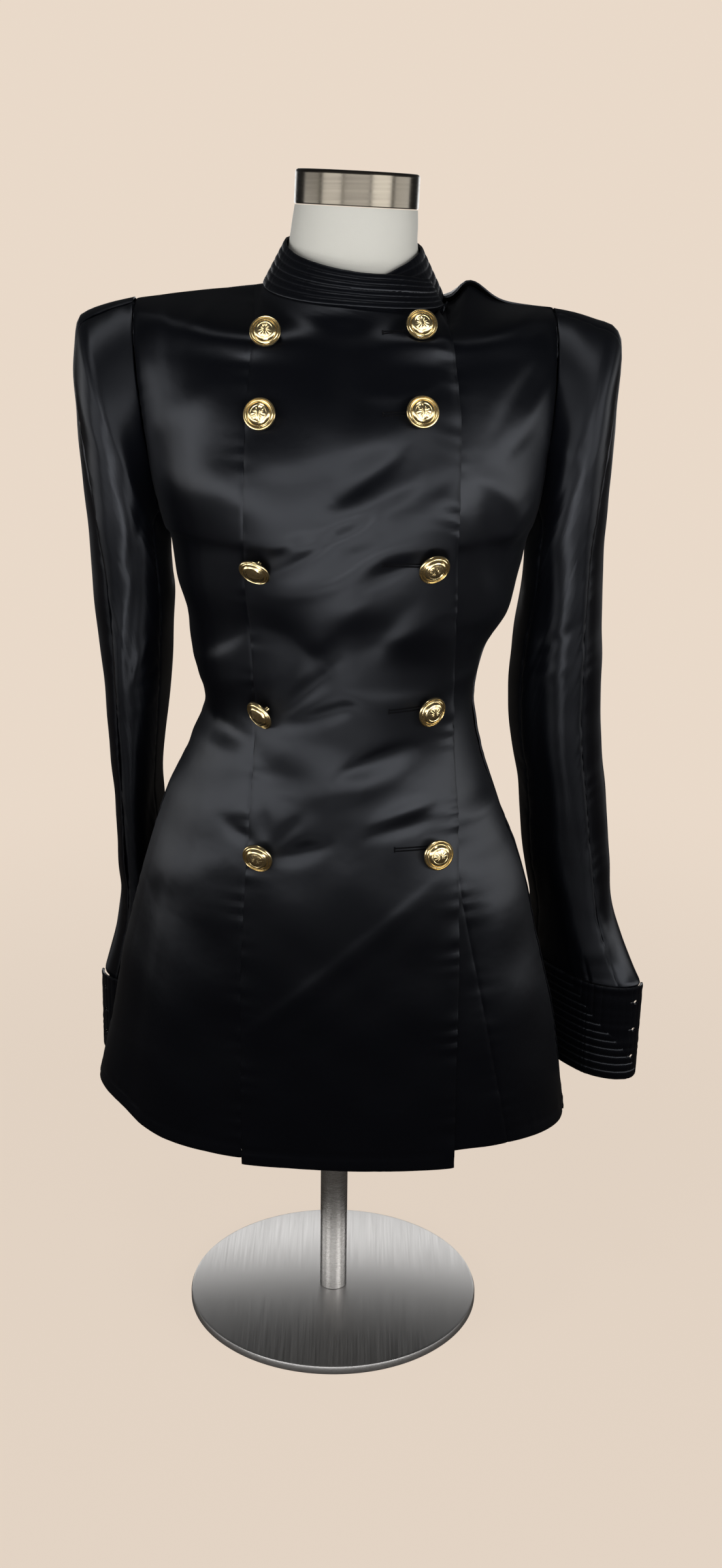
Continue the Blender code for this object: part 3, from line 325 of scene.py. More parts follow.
# Armholes and sleeves. Each ring goes from an outer point (x_out, z_out, y_out) through the
# front to an inner point (x_in, z_in, y_in) and back. 'square' is the superellipse power.
Sleeve = namedtuple("Sleeve", "x_out z_out y_out x_in z_in y_in y_front y_back square bow "
                              "outer_seam inner_seam")
RIGHT_SLEEVE = [Sleeve(*row) for row in (
    (-0.1680, 0.8998, 0.000, -0.1415, 0.7060, 0.000, -0.047, 0.052, 2.0, 0.004, 15, 140),
    (-0.1880, 0.8950, 0.000, -0.1424, 0.7032, 0.000, -0.054, 0.058, 2.1, 0.003, 18, 140),
    (-0.2040, 0.8895, 0.000, -0.1428, 0.7010, 0.000, -0.060, 0.064, 2.2, 0.002, 20, 140),
    (-0.2130, 0.8835, 0.000, -0.1430, 0.6990, 0.000, -0.063, 0.067, 2.3, 0.001, 21, 140),
    (-0.2165, 0.8680, 0.000, -0.1430, 0.6965, 0.000, -0.064, 0.069, 2.3, 0.000, 23, 140),
    (-0.2188, 0.8390, 0.000, -0.1430, 0.6930, 0.000, -0.065, 0.072, 2.3, 0.000, 30, 140),
    (-0.2162, 0.8050, 0.000, -0.1430, 0.6890, 0.000, -0.065, 0.074, 2.3, 0.000, 42, 140),
    (-0.2120, 0.7550, 0.000, -0.1427, 0.6830, 0.000, -0.063, 0.076, 2.3, 0.000, 55, 140),
    (-0.2088, 0.7000, 0.002, -0.1414, 0.6680, 0.004, -0.058, 0.080, 2.2, 0.000, 62, 140),
    (-0.2064, 0.6550, 0.008, -0.1404, 0.6480, 0.012, -0.052, 0.084, 2.2, 0.000, 64, 140),
    (-0.2020, 0.5970, 0.012, -0.1440, 0.5970, 0.020, -0.043, 0.088, 2.2, 0.000, 64, 142),
    (-0.1984, 0.5380, 0.018, -0.1505, 0.5380, 0.033, -0.030, 0.093, 2.1, 0.000, 62, 145),
    (-0.1964, 0.4740, 0.030, -0.1570, 0.4740, 0.048, -0.012, 0.102, 2.0, 0.000, 60, 148),
    (-0.1964, 0.4060, 0.050, -0.1550, 0.4060, 0.070, 0.010, 0.118, 2.0, 0.000, 58, 150),
    (-0.1960, 0.3730, 0.058, -0.1530, 0.3730, 0.080, 0.022, 0.128, 1.9, 0.000, 56, 150),
    (-0.2006, 0.3400, 0.065, -0.1500, 0.3400, 0.090, 0.032, 0.135, 1.8, 0.000, 54, 150),
    (-0.2085, 0.3060, 0.070, -0.1500, 0.3080, 0.098, 0.038, 0.142, 1.7, 0.000, 52, 150),
    (-0.2146, 0.2850, 0.074, -0.1500, 0.2880, 0.104, 0.042, 0.146, 1.6, 0.000, 50, 150),
)]
LEFT_SLEEVE = [Sleeve(*row) for row in (
    (0.1720, 0.8950, 0.000, 0.1560, 0.7120, 0.000, -0.047, 0.052, 2.0, 0.006, 15, 140),
    (0.1910, 0.8915, 0.000, 0.1566, 0.7092, 0.000, -0.054, 0.058, 2.1, 0.004, 18, 140),
    (0.2085, 0.8862, 0.000, 0.1569, 0.7070, 0.000, -0.060, 0.064, 2.2, 0.002, 20, 140),
    (0.2215, 0.8815, 0.000, 0.1571, 0.7050, 0.000, -0.063, 0.067, 2.3, 0.001, 21, 140),
    (0.2280, 0.8695, 0.000, 0.1571, 0.7025, 0.000, -0.064, 0.069, 2.3, 0.000, 23, 140),
    (0.2280, 0.8410, 0.000, 0.1570, 0.6995, 0.000, -0.065, 0.072, 2.3, 0.000, 30, 140),
    (0.2262, 0.8130, 0.000, 0.1567, 0.6955, 0.000, -0.065, 0.074, 2.3, 0.000, 42, 140),
    (0.2236, 0.7700, 0.000, 0.1563, 0.6895, 0.000, -0.063, 0.076, 2.3, 0.000, 55, 140),
    (0.2210, 0.7180, 0.002, 0.1557, 0.6760, 0.004, -0.058, 0.080, 2.2, 0.000, 62, 140),
    (0.2218, 0.6610, 0.008, 0.1545, 0.6580, 0.010, -0.052, 0.084, 2.2, 0.000, 64, 140),
    (0.2242, 0.6030, 0.012, 0.1482, 0.6080, 0.020, -0.045, 0.086, 2.2, 0.000, 64, 142),
    (0.2266, 0.5430, 0.018, 0.1480, 0.5450, 0.030, -0.036, 0.088, 2.1, 0.000, 64, 145),
    (0.2331, 0.4820, 0.022, 0.1590, 0.4800, 0.040, -0.026, 0.092, 2.0, 0.000, 62, 148),
    (0.2400, 0.4200, 0.026, 0.1655, 0.4200, 0.050, -0.016, 0.096, 2.0, 0.000, 60, 150),
    (0.2448, 0.3757, 0.024, 0.1735, 0.3760, 0.056, -0.012, 0.100, 1.9, 0.000, 58, 150),
    (0.2530, 0.3480, 0.018, 0.1745, 0.3500, 0.062, -0.010, 0.104, 1.8, 0.000, 56, 150),
    (0.2620, 0.3250, 0.008, 0.1750, 0.3300, 0.066, -0.009, 0.106, 1.7, 0.000, 54, 150),
    (0.2692, 0.3095, -0.002, 0.1750, 0.3140, 0.066, -0.010, 0.108, 1.6, 0.000, 52, 150),
)]


def curve_terms(t, last):
    """The four rows, out of 0 to last, that shape a smooth curve at t, each with its weight."""
    first = np.clip(t.astype(int), 0, last - 1)
    f = t - first
    weights = (0.5 * (-f + 2 * f ** 2 - f ** 3), 0.5 * (2 - 5 * f ** 2 + 3 * f ** 3),
               0.5 * (f + 4 * f ** 2 - 3 * f ** 3), 0.5 * (f ** 3 - f ** 2))
    return [(np.clip(first + offset, 0, last), weight)
            for offset, weight in zip((-1, 0, 1, 2), weights)]


def along_curve(values, t):
    """A smooth curve through rows of numbers or points, read at the places t."""
    values = np.asarray(values, float)
    total = 0.0
    for rows, weight in curve_terms(np.asarray(t, float), len(values) - 1):
        picked = values[rows]
        total = total + picked * weight.reshape(weight.shape + (1,) * (picked.ndim - weight.ndim))
    return total


def read_table(table, place):
    """Reads a table of (place, value) rows smoothly between its rows."""
    places = np.array([row[0] for row in table], float)
    place = np.clip(place, places[0], places[-1])
    return along_curve([row[1] for row in table], np.interp(place, places, np.arange(len(places))))


def smooth_share(value, start, stop):
    share = np.clip((value - start) / (stop - start), 0.0, 1.0)
    return share * share * (3 - 2 * share)


def joined(x, y, z):
    return np.stack(np.broadcast_arrays(x, y, z), axis=-1).astype(float)


def neckline_points(angle):
    a = np.radians(angle)
    depth = np.where(np.sin(a) < 0, NECK_FRONT, NECK_BACK)
    return joined(NECK_X + NECK_HALF_WIDTH * np.cos(a), NECK_Y + depth * np.sin(a),
                  read_table(NECKLINE_HEIGHT, np.mod(angle, 360)))


def sleeve_ring_points(rings, row, angle):
    """Points of sleeve rings: angle 0 is a ring's outer point, 90 the front, 180 the inner one."""
    columns = np.moveaxis(np.array(rings, float)[row], -1, 0)
    x_out, z_out, y_out, x_in, z_in, y_in, y_front, y_back, square, bow = columns[:10]
    a = np.radians(angle)
    across = np.sign(np.cos(a)) * np.abs(np.cos(a)) ** (2 / square)
    along = np.sign(np.sin(a)) * np.abs(np.sin(a)) ** (2 / square)
    middle_y = (y_out + y_in) / 2
    depth = np.where(along > 0, y_front - middle_y, middle_y - y_back)
    x = (x_out + x_in) / 2 + (x_out - x_in) / 2 * across + np.sign(x_out) * bow * np.abs(np.sin(a))
    y = middle_y + (y_out - y_in) / 2 * across + depth * along
    return joined(x, y, (z_out + z_in) / 2 + (z_out - z_in) / 2 * across)


def row_ends(row, front):
    """The left and right end points of one row of the body, and its middle."""
    if row < len(RINGS):
        ring = RINGS[row]
        left = np.array((ring.x_left, ring.y_side, ring.z))
        right = np.array((ring.x_right, ring.y_side, ring.z))
        return left, right, ring.y_front if front else ring.y_back, ring.z, ring.turn
    arc = ARCS[row - len(RINGS)]
    angle = arc.armhole_angle if front else 360 - arc.armhole_angle
    left = sleeve_ring_points(RIGHT_SLEEVE, 0, angle)
    right = sleeve_ring_points(LEFT_SLEEVE, 0, angle)
    if front:
        return left, right, arc.y_front, arc.z_front, arc.turn
    return left, right, arc.y_back, arc.z_back, arc.turn


def top_row_points(u, front):
    """The shoulder seams and the neckline, as the last row of the body."""
    quarter = 90 * np.clip(u / NECK_SPAN, -1, 1)
    on_neck = neckline_points(270 + quarter if front else 90 - quarter)
    neck = neckline_points(np.where(u < 0, 180.0, 0.0))
    tip = np.where((u < 0)[:, None], sleeve_ring_points(RIGHT_SLEEVE, 0, 0),
                   sleeve_ring_points(LEFT_SLEEVE, 0, 0))
    neck_share = math.sin(math.pi / 2 * NECK_SPAN)
    share = (np.sin(math.pi / 2 * np.abs(u)) - neck_share) / (1 - neck_share)
    on_shoulder = neck + (tip - neck) * share[:, None]
    spare = SHOULDER_FOLD_HEIGHT * np.exp(-((on_shoulder[:, 0] - SHOULDER_FOLD_X)
                                            / SHOULDER_FOLD_WIDTH) ** 2)
    on_shoulder[:, 2] += spare * smooth_share(share, 0, 0.2)
    return np.where((np.abs(u) <= NECK_SPAN)[:, None], on_neck, on_shoulder)


def row_points(row, u, front):
    if row == LAST_ROW:
        return top_row_points(u, front)
    left, right, y_middle, z_middle, turn = row_ends(row, front)
    c = np.sin(math.pi / 2 * u)
    side = left + (right - left) * ((c + 1) / 2)[:, None]
    y = side[:, 1] + (y_middle - side[:, 1]) * (1 - c * c) ** turn
    z = side[:, 2] + (z_middle - side[:, 2]) * (1 - c * c)
    if front:
        for bust_x, bust_z in BUST_POINTS:
            y = y - BUST_FULLNESS * np.exp(-((side[:, 0] - bust_x) / BUST_SPREAD) ** 2
                                           - ((z - bust_z) / BUST_SPREAD) ** 2)
    return joined(side[:, 0], y, z)


def body_points(u, v, front):
    """The jacket's outer surface: u from -1 to 1 across, v from 0 at the hem to LAST_ROW."""
    shape = u.shape
    u, v = u.ravel(), v.ravel()
    total = np.zeros((u.size, 3))
    for rows, weight in curve_terms(v, LAST_ROW):
        for row in np.unique(rows):
            here = rows == row
            total[here] += row_points(row, u[here], front) * weight[here, None]
    return total.reshape(shape + (3,))


def unit(vectors):
    return vectors / np.maximum(np.linalg.norm(vectors, axis=-1, keepdims=True), 1e-12)


def sheet_normals(surface, a, b, steps, a_limits, b_limits):
    """Normals of a surface, from two short steps along it."""
    step_a, step_b = steps
    along_a = (surface(np.minimum(a + step_a, a_limits[1]), b)
               - surface(np.maximum(a - step_a, a_limits[0]), b))
    along_b = (surface(a, np.minimum(b + step_b, b_limits[1]))
               - surface(a, np.maximum(b - step_b, b_limits[0])))
    return unit(np.cross(along_a, along_b))


def body_normals(u, v, front):
    """Front and back share one normal along the side and shoulder seams."""
    def one_side(is_front):
        normals = sheet_normals(lambda a, b: body_points(a, b, is_front), u, v, BODY_NORMAL_STEPS,
                                (-1, 1), (0, LAST_ROW))
        return normals if is_front else -normals

    own, other = one_side(front), one_side(not front)
    side = smooth_share(np.abs(u), SIDE_BLEND, 1.0) * (1 - smooth_share(v, len(RINGS) - 1, len(RINGS)))
    top = (smooth_share(v, LAST_ROW - SHOULDER_BLEND, LAST_ROW)
           * smooth_share(np.abs(u), NECK_SPAN - NECK_BLEND, NECK_SPAN))
    share = np.maximum(side, top)[..., None]
    return unit(own + other * share)


def u_of_x(x, row):
    """The place across a row of the front that has this x."""
    if row == LAST_ROW:
        share = min(max((x - NECK_X) / NECK_HALF_WIDTH, -1), 1)
        return NECK_SPAN * math.asin(share) / (math.pi / 2)
    left, right = row_ends(row, True)[:2]
    share = (x - (left[0] + right[0]) / 2) / ((right[0] - left[0]) / 2)
    return math.asin(share) / (math.pi / 2)


def seam_line(name, top_x):
    """The u of a seam at each row, from its x in the tables."""
    xs = [getattr(row, name) for row in RINGS + ARCS] + [top_x]
    return [u_of_x(x, row) for row, x in enumerate(xs)]


def straight_line(u):
    return [u] * (LAST_ROW + 1)


# How the cloth falls: every crease is listed, from one end through a middle point to the
# other, as x and z of each. 'lean' makes one flank steeper than the other.
WALL = 0.0011
CREASE_REACH = 3.2
CREASE_END_WIDTH = 0.65
# Direction, length and share of each of the slow waves
SLOW_WAVES = ((0.4, 0.118, 1.0), (1.5, 0.083, 0.8), (2.3, 0.061, 0.55), (0.9, 0.047, 0.40),
              (2.9, 0.036, 0.28))

Crease = namedtuple("Crease", "x0 z0 x1 z1 x2 z2 width height lean")


def creases(rows):
    """Creases from rows that give every size in millimetres, with the lean last."""
    return [Crease(*np.divide(row[:-1], 1000), row[-1]) for row in rows]


def crease_heights(folds, x, z):
    """The sum of soft ridges (+) and troughs (-), each fading out towards its two ends."""
    total = np.zeros(np.shape(x))
    steps = np.linspace(0, 1, 17)
    for crease in folds:
        before, after = (1 - steps) ** 2, steps ** 2
        between = 1 - before - after
        px = before * crease.x0 + between * crease.x1 + after * crease.x2
        pz = before * crease.z0 + between * crease.z1 + after * crease.z2
        reach = CREASE_REACH * crease.width * (1 + abs(crease.lean))
        near = ((x > px.min() - reach) & (x < px.max() + reach)
                & (z > pz.min() - reach) & (z < pz.max() + reach))
        if not near.any():
            continue
        qx, qz = x[near], z[near]
        best = np.full(qx.shape, 1e9)
        signed = np.zeros(qx.shape)
        place = np.zeros(qx.shape)
        for i in range(len(steps) - 1):
            dx, dz = px[i + 1] - px[i], pz[i + 1] - pz[i]
            length = math.hypot(dx, dz)
            along = np.clip(((qx - px[i]) * dx + (qz - pz[i]) * dz) / length ** 2, 0, 1)
            ex, ez = qx - px[i] - along * dx, qz - pz[i] - along * dz
            distance = np.hypot(ex, ez)
            closer = distance < best
            best = np.where(closer, distance, best)
            side = np.sign(dx * (qz - pz[i]) - dz * (qx - px[i]))
            signed = np.where(closer, side, signed)
            place = np.where(closer, (i + along) / (len(steps) - 1), place)
        width = crease.width * (1 + crease.lean * signed)
        width = width * (CREASE_END_WIDTH + (1 - CREASE_END_WIDTH) * np.sin(math.pi * place))
        fade = np.sin(math.pi * (0.06 + 0.88 * place)) ** 0.8
        total[near] += crease.height * fade * np.exp(-(best / width) ** 2)
    return total


def slow_waves(x, z, size, shift):
    """Uneven lie of a soft cloth, from a few long waves that never line up."""
    total = 0.0
    for turn, length, weight in SLOW_WAVES:
        phase = (x * math.cos(turn + shift) + z * math.sin(turn + shift)) / length
        total = total + weight * np.sin(2 * math.pi * phase + 3.1 * shift + 5.3 * turn)
    return size * total / 2


def uneven_beats(t, spacing, shift):
    """Puckers along a seam: humps of about one spacing, no two of one size."""
    wobble = 0.33 * np.sin(2 * math.pi * t / (spacing * 3.7) + shift)
    beat = np.sin(2 * math.pi * (t / spacing + wobble) + shift)
    strength = 0.55 + 0.45 * np.sin(2 * math.pi * t / (spacing * 5.3) + 1.7 * shift)
    return beat * strength


def lengths_along(points, axis):
    """How far each point of a grid is from its edge, measured over the cloth."""
    steps = np.linalg.norm(np.diff(points, axis=axis), axis=-1)
    start = np.zeros_like(np.take(steps, [0], axis=axis))
    return np.cumsum(np.concatenate((start, steps), axis=axis), axis=axis)


def spaced(length, step, edge_steps):
    """Places from 0 to length: close together beside both edges and even between them."""
    edge = np.cumsum(edge_steps)
    count = max(int(round((length - 2 * edge[-1]) / step)), 1)
    middle = np.linspace(edge[-1], length - edge[-1], count + 1)
    return np.concatenate(([0.0], edge[:-1], middle, (length - edge)[::-1][1:], [length])) / length


def cloth_sheet(name, points, thickness=WALL):
    """A grid of points made into one closed sheet of cloth with its UVs in metres."""
    rows, columns = points.shape[:2]
    bpy.ops.mesh.primitive_grid_add(x_subdivisions=columns - 1, y_subdivisions=rows - 1, size=2)
    sheet = bpy.context.object
    sheet.name = name
    mesh = sheet.data
    flat = np.empty(len(mesh.vertices) * 3)
    mesh.vertices.foreach_get("co", flat)
    flat = flat.reshape(-1, 3)
    column = np.rint((flat[:, 0] + 1) / 2 * (columns - 1)).astype(int)
    row = np.rint((flat[:, 1] + 1) / 2 * (rows - 1)).astype(int)
    mesh.vertices.foreach_set("co", points[row, column].ravel())
    across, up = lengths_along(points, 1), lengths_along(points, 0)
    corner = np.empty(len(mesh.loops), int)
    mesh.loops.foreach_get("vertex_index", corner)
    uv = np.stack((across[row, column], up[row, column]), axis=-1)[corner]
    mesh.uv_layers[0].name = "cloth"
    mesh.uv_layers[0].data.foreach_set("uv", uv.ravel())
    mesh.update()
    thick = sheet.modifiers.new("cloth", "SOLIDIFY")
    thick.thickness = thickness
    thick.offset = -1
    thick.use_even_offset = False
    bpy.ops.object.modifier_apply(modifier="cloth")
    bpy.ops.object.shade_smooth_by_angle(angle=math.radians(60))
    sheet["outer_faces"] = (rows - 1) * (columns - 1)
    return sheet


# Dress form: a moulded body, shoulders and neck in one matt white skin, cut off at the hips with a
# rounded foot. It fills the jacket to about a centimetre of the cloth and shows at the neck.
SKIN_WHITE = (0.60, 0.585, 0.53)
FORM_ACROSS = [-0.97, -0.86, -0.7, -0.5, -0.27, -0.18, -0.09, 0, 0.09, 0.18, 0.27, 0.5, 0.7, 0.86,
               0.97]
FORM_CLEARANCE = [(3, 0.012), (4, 0.011), (5, 0.010), (6, 0.009), (7, 0.009), (8, 0.010),
                  (10, 0.010), (11, 0.010), (12, 0.009), (13, 0.009), (14, 0.009), (15, 0.010)]
FORM_FOOT = [(0.55, 0.0), (0.86, 0.012), (0.97, 0.040)]
# How the last body ring is drawn in under the neck: width and depth, a rise, and its top
FORM_SHOULDER_SCALE = (0.94, 0.45)
FORM_SHOULDER_RISE = 0.004
FORM_SHOULDER_TOP = 0.882
NeckRing = namedtuple("NeckRing", "half_width front back z x")
FORM_NECK = [NeckRing(*row) for row in (
    (0.0660, 0.0620, 0.0530, 0.8900, 0.0090),
    (0.0625, 0.0590, 0.0510, 0.9140, 0.0090),
    (0.0545, 0.0530, 0.0480, 0.9320, 0.0090),
    (0.0516, 0.0505, 0.0455, 0.9470, 0.0090),
    (0.0507, 0.0500, 0.0460, 0.9600, 0.0100),
    (0.0498, 0.0498, 0.0498, 0.9700, 0.0107),
    (0.0495, 0.0495, 0.0495, 0.9730, 0.0108),
)]


def lofted_piece(name, rings):
    """A skin through rings of equal length, as one mesh with its ends filled."""
    bpy.ops.mesh.primitive_plane_add(size=0.01)
    piece = bpy.context.object
    piece.name = name
    mesh = bmesh.new()
    lines = [[mesh.verts.new(point) for point in ring] for ring in rings]
    for low, high in zip(lines, lines[1:]):
        for i in range(len(low)):
            j = (i + 1) % len(low)
            mesh.faces.new((low[i], low[j], high[j], high[i]))
    mesh.faces.new(lines[0][::-1])
    mesh.faces.new(lines[-1])
    bmesh.ops.recalc_face_normals(mesh, faces=mesh.faces)
    mesh.to_mesh(piece.data)
    mesh.free()
    bpy.ops.object.shade_smooth_by_angle(angle=math.radians(40))
    return piece


def form_body_ring(v, clearance):
    across = along_curve(FORM_ACROSS, np.linspace(0, len(FORM_ACROSS) - 1, 57))
    level = np.full(across.shape, float(v))
    halves = []
    for front in (True, False):
        points = body_points(across, level, front)
        points = points - body_normals(across, level, front) * clearance
        halves.append(points if front else points[::-1])
    return np.concatenate(halves)


form_rings = []
hip = form_body_ring(*FORM_CLEARANCE[0])
for scale, rise in FORM_FOOT:
    form_rings.append(joined(hip[:, 0] * scale, hip[:, 1] * scale, FORM_BOTTOM + rise))
for v in np.arange(FORM_CLEARANCE[0][0], FORM_CLEARANCE[-1][0] + 0.01, 0.5):
    clearance = np.interp(v, [row[0] for row in FORM_CLEARANCE], [row[1] for row in FORM_CLEARANCE])
    form_rings.append(form_body_ring(v, clearance))
shoulder_top = form_rings[-1].copy()
shoulder_top[:, :2] *= FORM_SHOULDER_SCALE
shoulder_top[:, 2] = np.minimum(shoulder_top[:, 2] + FORM_SHOULDER_RISE, FORM_SHOULDER_TOP)
form_rings.append(shoulder_top)
dress_form = lofted_piece("form_body", form_rings)

neck_rings = []
for place in np.linspace(0, len(FORM_NECK) - 1, 31):
    half_width, front, back, z, x = along_curve(FORM_NECK, place)
    a = np.linspace(0, 2 * math.pi, 96, endpoint=False)
    depth = np.where(np.sin(a) < 0, front, back)
    neck_rings.append(joined(x + half_width * np.cos(a), NECK_Y + depth * np.sin(a),
                             z - half_width * np.cos(a) * math.tan(CAP_TILT)))
form_neck = lofted_piece("form_neck", neck_rings)

form_skin = colored_material("form_skin", SKIN_WHITE, 0.55)
skin_tree = form_skin.node_tree
skin_where = add_node(skin_tree, "ShaderNodeTexCoord")
skin_grain = add_node(skin_tree, "ShaderNodeTexNoise", {
    "Vector": skin_where.outputs["Object"], "Scale": 900.0, "Detail": 3.0})
skin_bump = add_node(skin_tree, "ShaderNodeBump", {
    "Height": skin_grain.outputs["Fac"], "Strength": 0.25, "Distance": 0.0003})
set_inputs(skin_tree, skin_tree.nodes["Principled BSDF"], {"Normal": skin_bump.outputs["Normal"]})
finish_piece(dress_form, "form_skin", form_skin, "dress_form")
finish_piece(form_neck, "form_skin", form_skin, "dress_form")


# Black satin: a warp-faced silk with its long floats running up and down, so its light spreads
# sideways and breaks sharply from fold to fold. Close to, the yarns show as fine upright streaks.
SATIN_BLACK = (0.0012, 0.0014, 0.0024)
SATIN_ROUGHNESS = 0.38
SATIN_ANISOTROPY = 0.82
SATIN_TINT = (0.87, 0.91, 1.0)
SATIN_CRUMPLE = 0.30
YARN_GRAIN = (2600, 190, 1)


def satin_lie_group():
    """Puts out the cloth's small unevenness as a height, and its yarn streaks as a mask."""
    group = bpy.data.node_groups.new("satin_lie", "ShaderNodeTree")
    group.interface.new_socket("Crumple", in_out="INPUT", socket_type="NodeSocketFloat")
    group.interface.new_socket("Height", in_out="OUTPUT", socket_type="NodeSocketFloat")
    group.interface.new_socket("Streaks", in_out="OUTPUT", socket_type="NodeSocketFloat")
    given = add_node(group, "NodeGroupInput")
    cloth = add_node(group, "ShaderNodeUVMap", uv_map="cloth")
    yarns = add_node(group, "ShaderNodeMapping", {"Vector": cloth.outputs["UV"], "Scale": YARN_GRAIN})
    streaks = add_node(group, "ShaderNodeTexNoise", {
        "Vector": yarns.outputs["Vector"], "Scale": 1.0, "Detail": 2.0})
    crumple = add_node(group, "ShaderNodeTexNoise", {
        "Vector": cloth.outputs["UV"], "Scale": 48.0, "Detail": 3.0, "Roughness": 0.42})
    sized = add_node(group, "ShaderNodeMath", {
        0: crumple.outputs["Fac"], 1: given.outputs["Crumple"]}, operation="MULTIPLY")
    fine = add_node(group, "ShaderNodeMath", {
        0: streaks.outputs["Fac"], 1: 0.035, 2: sized.outputs[0]}, operation="MULTIPLY_ADD")
    add_node(group, "NodeGroupOutput", {"Height": fine.outputs[0], "Streaks": streaks.outputs["Fac"]})
    return group


def satin_material():
    material = colored_material("black_satin", SATIN_BLACK, SATIN_ROUGHNESS, {
        "Anisotropic": SATIN_ANISOTROPY, "Specular IOR Level": 0.32, "Specular Tint": rgba(SATIN_TINT),
        "Sheen Weight": 0.015, "Sheen Roughness": 0.35})
    tree = material.node_tree
    lie = add_node(tree, "ShaderNodeGroup", node_tree=satin_lie)
    lie.inputs["Crumple"].default_value = SATIN_CRUMPLE
    bump = add_node(tree, "ShaderNodeBump", {
        "Height": lie.outputs["Height"], "Strength": 0.5, "Distance": 0.0012})
    across = add_node(tree, "ShaderNodeTangent", direction_type="UV_MAP", uv_map="cloth")
    tone = add_node(tree, "ShaderNodeMix", data_type="RGBA")
    set_inputs(tree, tone, {0: lie.outputs["Streaks"], 6: rgba(SATIN_BLACK, 0.7),
                            7: rgba(SATIN_BLACK, 1.35)})
    gloss = add_node(tree, "ShaderNodeMapRange", {
        "Value": lie.outputs["Streaks"], "To Min": SATIN_ROUGHNESS - 0.05,
        "To Max": SATIN_ROUGHNESS + 0.06})
    set_inputs(tree, tree.nodes["Principled BSDF"], {
        "Normal": bump.outputs["Normal"], "Tangent": across.outputs["Tangent"],
        "Base Color": tone.outputs[2], "Roughness": gloss.outputs["Result"]})
    return material


satin_lie = satin_lie_group()
satin = satin_material()


# Back: two panels sewn down the middle, shaped by that seam and the side seams. Their creases
# are guessed from the front's: drag lines towards the armholes and soft folds over the hips.
EDGE_STEPS = (0.0005, 0.0007, 0.0010, 0.0016, 0.0024)
UP_STEP_SHARE = 1.15
# How far each hem rises above its ring, by x
LEFT_BACK_HEM = [(-1, 0.0), (1, 0.0)]
RIGHT_BACK_HEM = [(-0.2065, 0.0310), (-0.1600, 0.0160), (-0.1000, 0.0), (0.0, 0.0)]
SEAM_DIP = 0.0006
SEAM_DIP_WIDTH = 0.0016
PUCKER_REACH = 0.009
PUCKER_SPACING = 0.017
HEM_TURN = 0.013
HEM_ROLL_DEPTH = 0.0005
HEM_STITCH_DEPTH = 0.00045
HEM_LINE_WIDTH = 0.0012
HEM_PUCKER_HEIGHT = 0.00030
HEM_PUCKER_SPACING = 0.013
HEM_PUCKER_REACH = 0.011
PANEL_WAVES = 0.0006

BACK_CREASES = creases([
    (-120, 800, -70, 772, -20, 765, 12, -1.6, 0.2),
    (-125, 770, -80, 735, -30, 722, 14, 1.5, -0.2),
    (125, 805, 80, 772, 30, 752, 13, -1.8, -0.2),
    (128, 765, 85, 742, 30, 730, 14, 1.4, 0.2),
    (-100, 640, -40, 618, 20, 622, 12, -2.2, 0.3),
    (-85, 600, -20, 588, 50, 600, 11, 2, -0.2),
    (100, 632, 60, 606, 0, 598, 10, -1.8, 0.2),
    (-110, 560, -60, 548, 0, 556, 12, -1.8, 0.2),
    (110, 552, 60, 540, 10, 545, 12, 1.8, 0.2),
    (-60, 215, -55, 320, -40, 440, 26, 4.2, 0.1),
    (-125, 215, -118, 320, -100, 430, 28, -3.6, 0.1),
    (55, 210, 55, 320, 45, 440, 26, 4.4, -0.1),
    (122, 210, 118, 310, 105, 420, 28, -3.6, -0.1),
])


def panel_grid(left, right, front, hem, step):
    """The grid of one cut panel between two seam lines: its points and normals."""
    fine = np.linspace(0, LAST_ROW, 641)
    middle = (along_curve(left, fine) + along_curve(right, fine)) / 2
    height = lengths_along(body_points(middle, fine, front)[None], 1)[0]
    places = spaced(height[-1], step * UP_STEP_SHARE, EDGE_STEPS) * height[-1]
    v = np.interp(places, height, fine)
    start, stop = along_curve(left, v), along_curve(right, v)
    mid_row = body_points(np.linspace(start, stop, 9, axis=-1), np.repeat(v[:, None], 9, 1), front)
    width = float(np.median(lengths_along(mid_row, 1)[:, -1]))
    share = spaced(width, step, EDGE_STEPS)
    u = start[:, None] + (stop - start)[:, None] * share[None, :]
    v = np.repeat(v[:, None], len(share), 1)
    points = body_points(u, v, front)
    points[..., 2] += read_table(hem, points[..., 0]) * np.maximum(0.0, 1 - v)
    return points, body_normals(u, v, front)


def seam_relief(points, puckers, hem_turn=HEM_TURN):
    """Heights for a panel's rolled edges, the puckers along its seams and its turned-up hem."""
    across, up = lengths_along(points, 1), lengths_along(points, 0)
    total = np.zeros(across.shape)
    left_size, right_size, shift = puckers
    for size, distance in ((left_size, across), (right_size, across[:, -1:] - across)):
        total -= SEAM_DIP * np.exp(-(distance / SEAM_DIP_WIDTH) ** 2)
        total += size * uneven_beats(up, PUCKER_SPACING, shift) * np.exp(-distance / PUCKER_REACH)
        shift += 2.1
    to_top = up[-1:, :] - up
    total -= SEAM_DIP * 0.8 * np.exp(-(to_top / SEAM_DIP_WIDTH) ** 2)
    if hem_turn:
        above = up - hem_turn
        total -= HEM_ROLL_DEPTH * np.exp(-(up / HEM_LINE_WIDTH) ** 2)
        total -= HEM_STITCH_DEPTH * np.exp(-(above / HEM_LINE_WIDTH) ** 2)
        total += (HEM_PUCKER_HEIGHT * uneven_beats(across, HEM_PUCKER_SPACING, shift)
                  * np.exp(-(above / HEM_PUCKER_REACH) ** 2))
    return total


